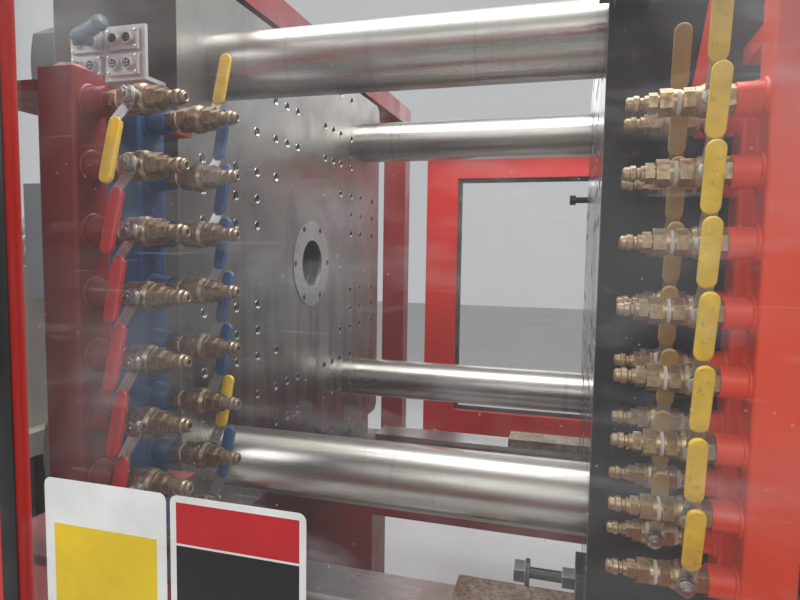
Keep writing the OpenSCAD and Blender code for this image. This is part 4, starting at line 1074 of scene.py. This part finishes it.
@dataclass
class Cabinet:
    """Hinges, louvres and handles of the cabinet's doors, and the console's screen and keys."""

    face_y: float = 800.0
    door_x: tuple[float, ...] = (-1866, -1396)
    door_w: float = 440.0
    door_z: tuple[float, ...] = (-1180, -540)
    louvres: int = 9
    louvre_pitch: float = 17.0
    panel_y: float = 780.0
    screen_y: float = 774.0
    screen: Span = (-1264, -956, 266, 464)
    screen_rim: float = 10.0
    keys: tuple[float, ...] = (-1176, 232)
    key_w: float = 22.0
    key_h: float = 15.0
    button: tuple[float, ...] = (-1240, 210)

    def build(self) -> None:
        """Make the cabinet's details."""
        self._doors()
        self._screen()
        self._keys()
        self._knobs()

    def _doors(self) -> None:
        """Add hinges, louvres and swing handles."""
        shape = Shape()
        y = self.face_y
        low, high = self.door_z
        for x in self.door_x:
            shape.slot = 0
            for z in (low + 60, high - 120):
                shape.rod(Vector((x - 5, y + 4, z)), Z_AXIS, 60, 6.5, 18, bevel=1)
            for i in range(self.louvres):
                z = low + 34 + i * self.louvre_pitch
                shape.block(x + 70, x + self.door_w - 90, y - 1, y + 4.5, z, z + 7, 1.6)
            shape.slot = 1
            at = x + self.door_w - 36
            shape.block(at, at + 26, y - 0.5, y + 5, high - 390, high - 230, 2)
            shape.block(at + 5, at + 21, y + 4, y + 17, high - 382, high - 262, 3)
        shape.piece("cabinet_door_fittings", "root", (Stock.CREAM, Stock.DARK))

    def _screen(self) -> None:
        """Add the screen and its rim."""
        x0, x1, z0, z1 = self.screen
        shape = Shape()
        shape.slot = 1
        shape.block(x0, x1, self.screen_y - 1, self.screen_y + 2.5, z0, z1)
        shape.slot = 0
        for a0, a1, c0, c1 in border(x0, x1, z0, z1, self.screen_rim):
            shape.block(a0, a1, self.screen_y, self.screen_y + 5, c0, c1, 1)
        shape.piece("console_screen", "root", (Stock.RUBBER, Stock.SCREEN))

    def _keys(self) -> None:
        """Add the keys, the last row and column dark."""
        shape = Shape()
        for i, j in product(range(7), range(5)):
            shape.slot = 1 if j == 4 or i == 6 else 0
            x, z = self.keys[0] + i * 31, self.keys[1] - j * 27
            shape.block(x, x + self.key_w, self.panel_y - 1, self.panel_y + 3,
                        z - self.key_h, z, 1.4)
        shape.piece("console_keys", "root", (Stock.GREY, Stock.RUBBER))

    def _knobs(self) -> None:
        """Add two selector knobs and the button's collar."""
        shape = Shape()
        x, z = self.button
        for below in (58, 106):
            at = Vector((x, self.panel_y, z - below))
            shape.slot = 0
            shape.rod(at, Y_AXIS, 3, 15, 28, bevel=0.8)
            shape.rod(at + Y_AXIS * 3, Y_AXIS, 9, 11.5, 28, bevel=1.2)
            shape.block(at.x - 3.2, at.x + 3.2, at.y + 11, at.y + 19, at.z - 11, at.z + 11, 1.2)
        shape.slot = 1
        shape.ring(Vector((x, self.panel_y + 1.0, z)), Y_AXIS, 23.5, 1.9, 32, 8)
        shape.piece("console_knobs", "root", (Stock.RUBBER, Stock.YELLOW))


@dataclass
class Injection:
    """Rims, clamp screws and terminals of the heater bands, and the hopper's glass and beads."""

    bands: int = 5
    first_x: float = -380.0
    step: float = 170.0
    width: float = 110.0
    band_r: float = 84.0
    clamp_z: float = -92.0
    terminal_z: float = 105.5
    hopper_x: float = -1290.0
    hopper_r: float = 220.0
    shell: tuple[float, ...] = (450, 750)
    glass_half: float = 28.0

    def build(self) -> None:
        """Make the injection unit's details."""
        bands = Shape()
        for i in range(self.bands):
            self._band(bands, self.first_x - i * self.step)
        bands.piece("heater_band_fittings", "carriage",
                    (Stock.STAINLESS, Stock.RING, Stock.CERAMIC))
        self._hopper()

    def _band(self, shape: Shape, x: float) -> None:
        """Add a band's rolled rims, clamp screws, ceramic block and two terminals."""
        shape.slot = 0
        for edge in (3, self.width - 3):
            shape.ring(Vector((x + edge, 0, 0)), X_AXIS, self.band_r - 0.2, 1.6, 48, 6)
        shape.slot = 1
        for along, side in product((26, self.width - 26), (-1, 1)):
            shape.hexagon(Vector((x + along, side * 14, self.clamp_z)), Y_AXIS * side, 6.5, 5)
        shape.slot = 2
        top = Vector((x + self.width / 2, 0, self.terminal_z))
        shape.rod(top, Z_AXIS, 9, 10.5, 24, bevel=1.4)
        shape.slot = 1
        for side in (-1, 1):
            post = top + X_AXIS * (side * 4.5)
            shape.rod(post + Z_AXIS * 8.5, Z_AXIS, 9, 2.0, 12, bevel=0.4)
            shape.rod(post + Z_AXIS * 9.5, Z_AXIS, 3, 3.8, 6, bevel=0.3)

    def _hopper(self) -> None:
        """Add the hopper's beads and the framed sight glass."""
        shape = Shape()
        centre = Vector((self.hopper_x, 0, 0))
        low, high = self.shell
        for z in (low + 3, low + 14, high - 12):
            shape.ring(centre + Z_AXIS * z, Z_AXIS, self.hopper_r + 0.5, 2.4, 72, 6)
        y = -self.hopper_r
        x0, x1 = self.hopper_x - self.glass_half, self.hopper_x + self.glass_half
        shape.block(x0, x1, y - 5, y + 6, low + 36, high - 36, 3)
        rows = evenly(low + 46, high - 46, 3)
        shape.screws(product((x0 + 7, x1 - 7), rows), y - 5, -Y_AXIS, 3.2)
        shape.slot = 1
        shape.block(x0 + 15, x1 - 15, y - 6, y - 3, low + 52, high - 52, 0.8)
        shape.piece("hopper_fittings", "carriage", (Stock.STAINLESS, Stock.SCREEN))


@dataclass
class ClampUnit:
    """Cap screws, scraper and bar ends of the clamp, and the screws of its sheet guards."""

    cap_x: float = 2185.0
    cap_pcr: float = 185.0
    caps: int = 12
    gland_x: float = 1240.0
    ram_r: float = 130.0
    bar_y: float = 367.3
    bar_z: float = 340.0
    sheet_x: tuple[float, ...] = (1410, 2090)
    near_sheet: tuple[float, ...] = (-823, -470, 440)
    far_sheet: tuple[float, ...] = (823, -660, 420)

    def build(self) -> None:
        """Make the clamp's details."""
        self._cylinder()
        self._sheets()
        self._bar_ends()

    def _cylinder(self) -> None:
        """Add the cap screws, each with a flat black hexagon as painted shade for its socket, and
        the ram's scraper.
        """
        shape = Shape()
        for i in range(self.caps):
            turn = math.radians(360 / self.caps * i + 15)
            at = Vector((self.cap_x, 0, 0)) + around("X", turn, self.cap_pcr)
            shape.slot = 0
            shape.rod(at, X_AXIS, 5.0, 13, 28, bevel=1)
            # Painted shade: a thin black hexagon stands in for the shade in the screw's socket.
            shape.slot = 1
            shape.rod(at + X_AXIS * 5, X_AXIS, 0.3, 7, 6)
        shape.ring(Vector((self.gland_x - 1, 0, 0)), X_AXIS, self.ram_r + 4.5, 3.6, 64, 8)
        shape.piece("clamp_cylinder_fittings", "root", (Stock.DARK, Stock.RUBBER))

    def _sheets(self) -> None:
        """Add the screws round the edges of both sheet guards."""
        shape = Shape()
        x0, x1 = self.sheet_x[0] + 18, self.sheet_x[1] - 18
        for y, low, high in (self.near_sheet, self.far_sheet):
            out = Vector((0, math.copysign(1, y), 0))
            shape.screws(product(evenly(x0, x1, 8), (low + 16, high - 16)), y, out)
            shape.screws(product((x0, x1), evenly(low, high, 6)[1:-1]), y, out)
        shape.piece("sheet_guard_screws", "root", (Stock.RING,))

    def _bar_ends(self) -> None:
        """Add the turned rims on the tie bars' ends."""
        shape = Shape()
        ends = [(c.x - FACE_X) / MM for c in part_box("tie_bars")]
        for x, y, z in product(ends, (-self.bar_y, self.bar_y), (-self.bar_z, self.bar_z)):
            shape.ring(Vector((x, y, z)), X_AXIS, 9.6, 0.9, 28, 6)
            shape.ring(Vector((x, y, z)), X_AXIS, 34, 0.5, 48, 4)
        shape.piece("tie_bar_end_rims", "root", (Stock.RING,))


@dataclass
class Hydraulics:
    """The pump motor's cooling fins and the oil tank's knurled filler cap."""

    motor: tuple[float, ...] = (-2230, -120, -720)
    motor_r: float = 90.0
    fins: int = 17
    fin_pitch: float = 16.0
    filler: tuple[float, ...] = (-1710, 180, -741)
    cap_r: float = 44.0
    knurls: int = 12

    def build(self) -> None:
        """Make the tank's details."""
        shape = Shape()
        for i in range(self.fins):
            along = X_AXIS * (30 + i * self.fin_pitch)
            shape.ring(Vector(self.motor) + along, X_AXIS, self.motor_r, 3.2, 40, 6)
        top = Vector(self.filler)
        shape.slot = 1
        shape.rod(top, Z_AXIS, 24, self.cap_r, 36, self.cap_r - 4, bevel=3)
        for i in range(self.knurls):
            turn = math.radians(360 / self.knurls * i)
            foot = top + around("Z", turn, self.cap_r - 3) + Z_AXIS * 2
            shape.rod(foot, Z_AXIS, 19, 4.5, 10, bevel=1)
        shape.piece("oil_tank_fittings", "root", (Stock.BLACK, Stock.RUBBER))


@dataclass
class PhotoCamera:
    """The camera that took the photograph, outside the near gate's window."""

    x: float = 591.0
    y: float = -1308.8
    z: float = 30.6
    left_turn: float = 15.989
    down: float = 4.560
    roll: float = 0.871
    lens: float = 27.27

    def build(self) -> None:
        """Make the camera and set it as the scene's."""
        turn, tip, lean = (math.radians(a) for a in (self.left_turn, self.down, self.roll))
        level, aside = Matrix.Rotation(math.pi / 2 - tip, 4, "X"), Matrix.Rotation(turn, 4, "Z")
        camera = bpy.data.cameras.new("photo_camera")
        camera.lens, camera.sensor_width = self.lens, 36.0
        camera.clip_start, camera.clip_end = 0.02, 100
        holder = bpy.data.objects.new("photo_camera", camera)
        bpy.context.scene.collection.objects.link(holder)
        where = Matrix.Translation(place(self.x, self.y, self.z))
        holder.matrix_world = where @ aside @ level @ Matrix.Rotation(lean, 4, "Z")
        bpy.context.scene.camera = holder


@dataclass(frozen=True)
class Lamp:
    """A soft rectangular lamp that shines at a point."""

    name: str
    where: Vector
    target: Vector
    width: float
    depth: float
    power: float

    def build(self) -> None:
        """Make the lamp."""
        data = bpy.data.lights.new(self.name, "AREA")
        data.shape, data.energy = "RECTANGLE", self.power
        data.size, data.size_y = self.width, self.depth
        lamp = bpy.data.objects.new(self.name, data)
        lamp.location = self.where
        lamp.rotation_euler = (self.target - self.where).to_track_quat("-Z", "Y").to_euler()
        bpy.context.scene.collection.objects.link(lamp)


LAMPS = (
    Lamp("lamp_over_mould_space", place(300, -200, 1500), place(300, 0, 0), 2.6, 1.0, 44),
    Lamp("lamp_over_clamp", place(1500, -300, 1900), place(1500, 0, 0), 2.6, 1.2, 38),
    Lamp("lamp_near_side", place(900, -3600, 1500), place(500, 0, 0), 3.0, 2.0, 34),
    Lamp("lamp_far_side", place(300, 3400, 1500), place(300, 0, 100), 3.0, 2.0, 24),
    Lamp("lamp_injection_end", place(-2300, -2600, 1700), place(-1500, 0, 0), 2.5, 1.6, 42),
)


@dataclass
class Studio:
    """A pale floor, a pale world and soft lamps."""

    sky: float = 0.30
    backdrop: float = 0.50
    floor_half: float = 14.0

    def build(self) -> None:
        """Make the world, the floor and the lamps."""
        bpy.context.scene.view_settings.view_transform = "Standard"
        self._world()
        self._floor()
        for lamp in LAMPS:
            lamp.build()

    def _world(self) -> None:
        """Make a world that lights at one strength and is seen and mirrored at another."""
        world = bpy.data.worlds.new("pale_world")
        bpy.context.scene.world = world
        world.use_nodes = True
        tree = world.node_tree
        ground = tree.nodes["Background"]
        seen, *others = (add_node(tree, "ShaderNodeLightPath", {}, f"Is {ray} Ray")
                         for ray in ("Camera", "Glossy", "Transmission"))
        for other in others:
            seen = add_node(tree, "ShaderNodeMath", {0: seen, 1: other}, operation="MAXIMUM")
        strength = {"Value": seen, "To Min": self.sky, "To Max": self.backdrop}
        feed(tree, ground.inputs["Strength"], add_node(tree, "ShaderNodeMapRange", strength))
        feed(tree, ground.inputs["Color"], (0.97, 0.98, 1.0))

    def _floor(self) -> None:
        """Add the floor, a fine pale concrete."""
        bm = bmesh.new()
        bmesh.ops.create_grid(bm, x_segments=1, y_segments=1, size=self.floor_half)
        mesh = bpy.data.meshes.new("floor")
        bm.to_mesh(mesh)
        bm.free()
        g = Graph("pale floor")
        drift = g.patches(2, 6, 0.5, 0.3, 0.7)
        shade = g.mix(drift, (0.76, 0.76, 0.75), (0.82, 0.82, 0.81))
        mesh.materials.append(g.done({"Base Color": shade, "Roughness": 0.6}))
        floor = bpy.data.objects.new("floor", mesh)
        bpy.context.scene.collection.objects.link(floor)


def dress_nodes() -> None:
    """Give each CAD node that shows its finish."""
    for stock, nodes in STOCK_NODES.items():
        for node in nodes:
            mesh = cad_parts[node].data
            mesh.materials.clear()
            mesh.materials.append(stock.material())


def main() -> None:
    """Build the scene, sub-assembly by sub-assembly."""
    logging.basicConfig(level=logging.INFO, format="%(name)s: %(message)s")
    random.seed(7)
    PhotoCamera().build()
    Studio().build()
    dress_nodes()
    gates = (Gate("near", -1, (97, 997, -360, 330), (77, 927), 420),
             Gate("far", 1, (178, 1078, -549, 295), (126, 1028), 400))
    for assembly in (Manifolds(), Platens(), *gates, Cards(), Connector(), Cabinet(),
                     Injection(), ClampUnit(), Hydraulics()):
        assembly.build()


if __name__ == "__main__":
    main()
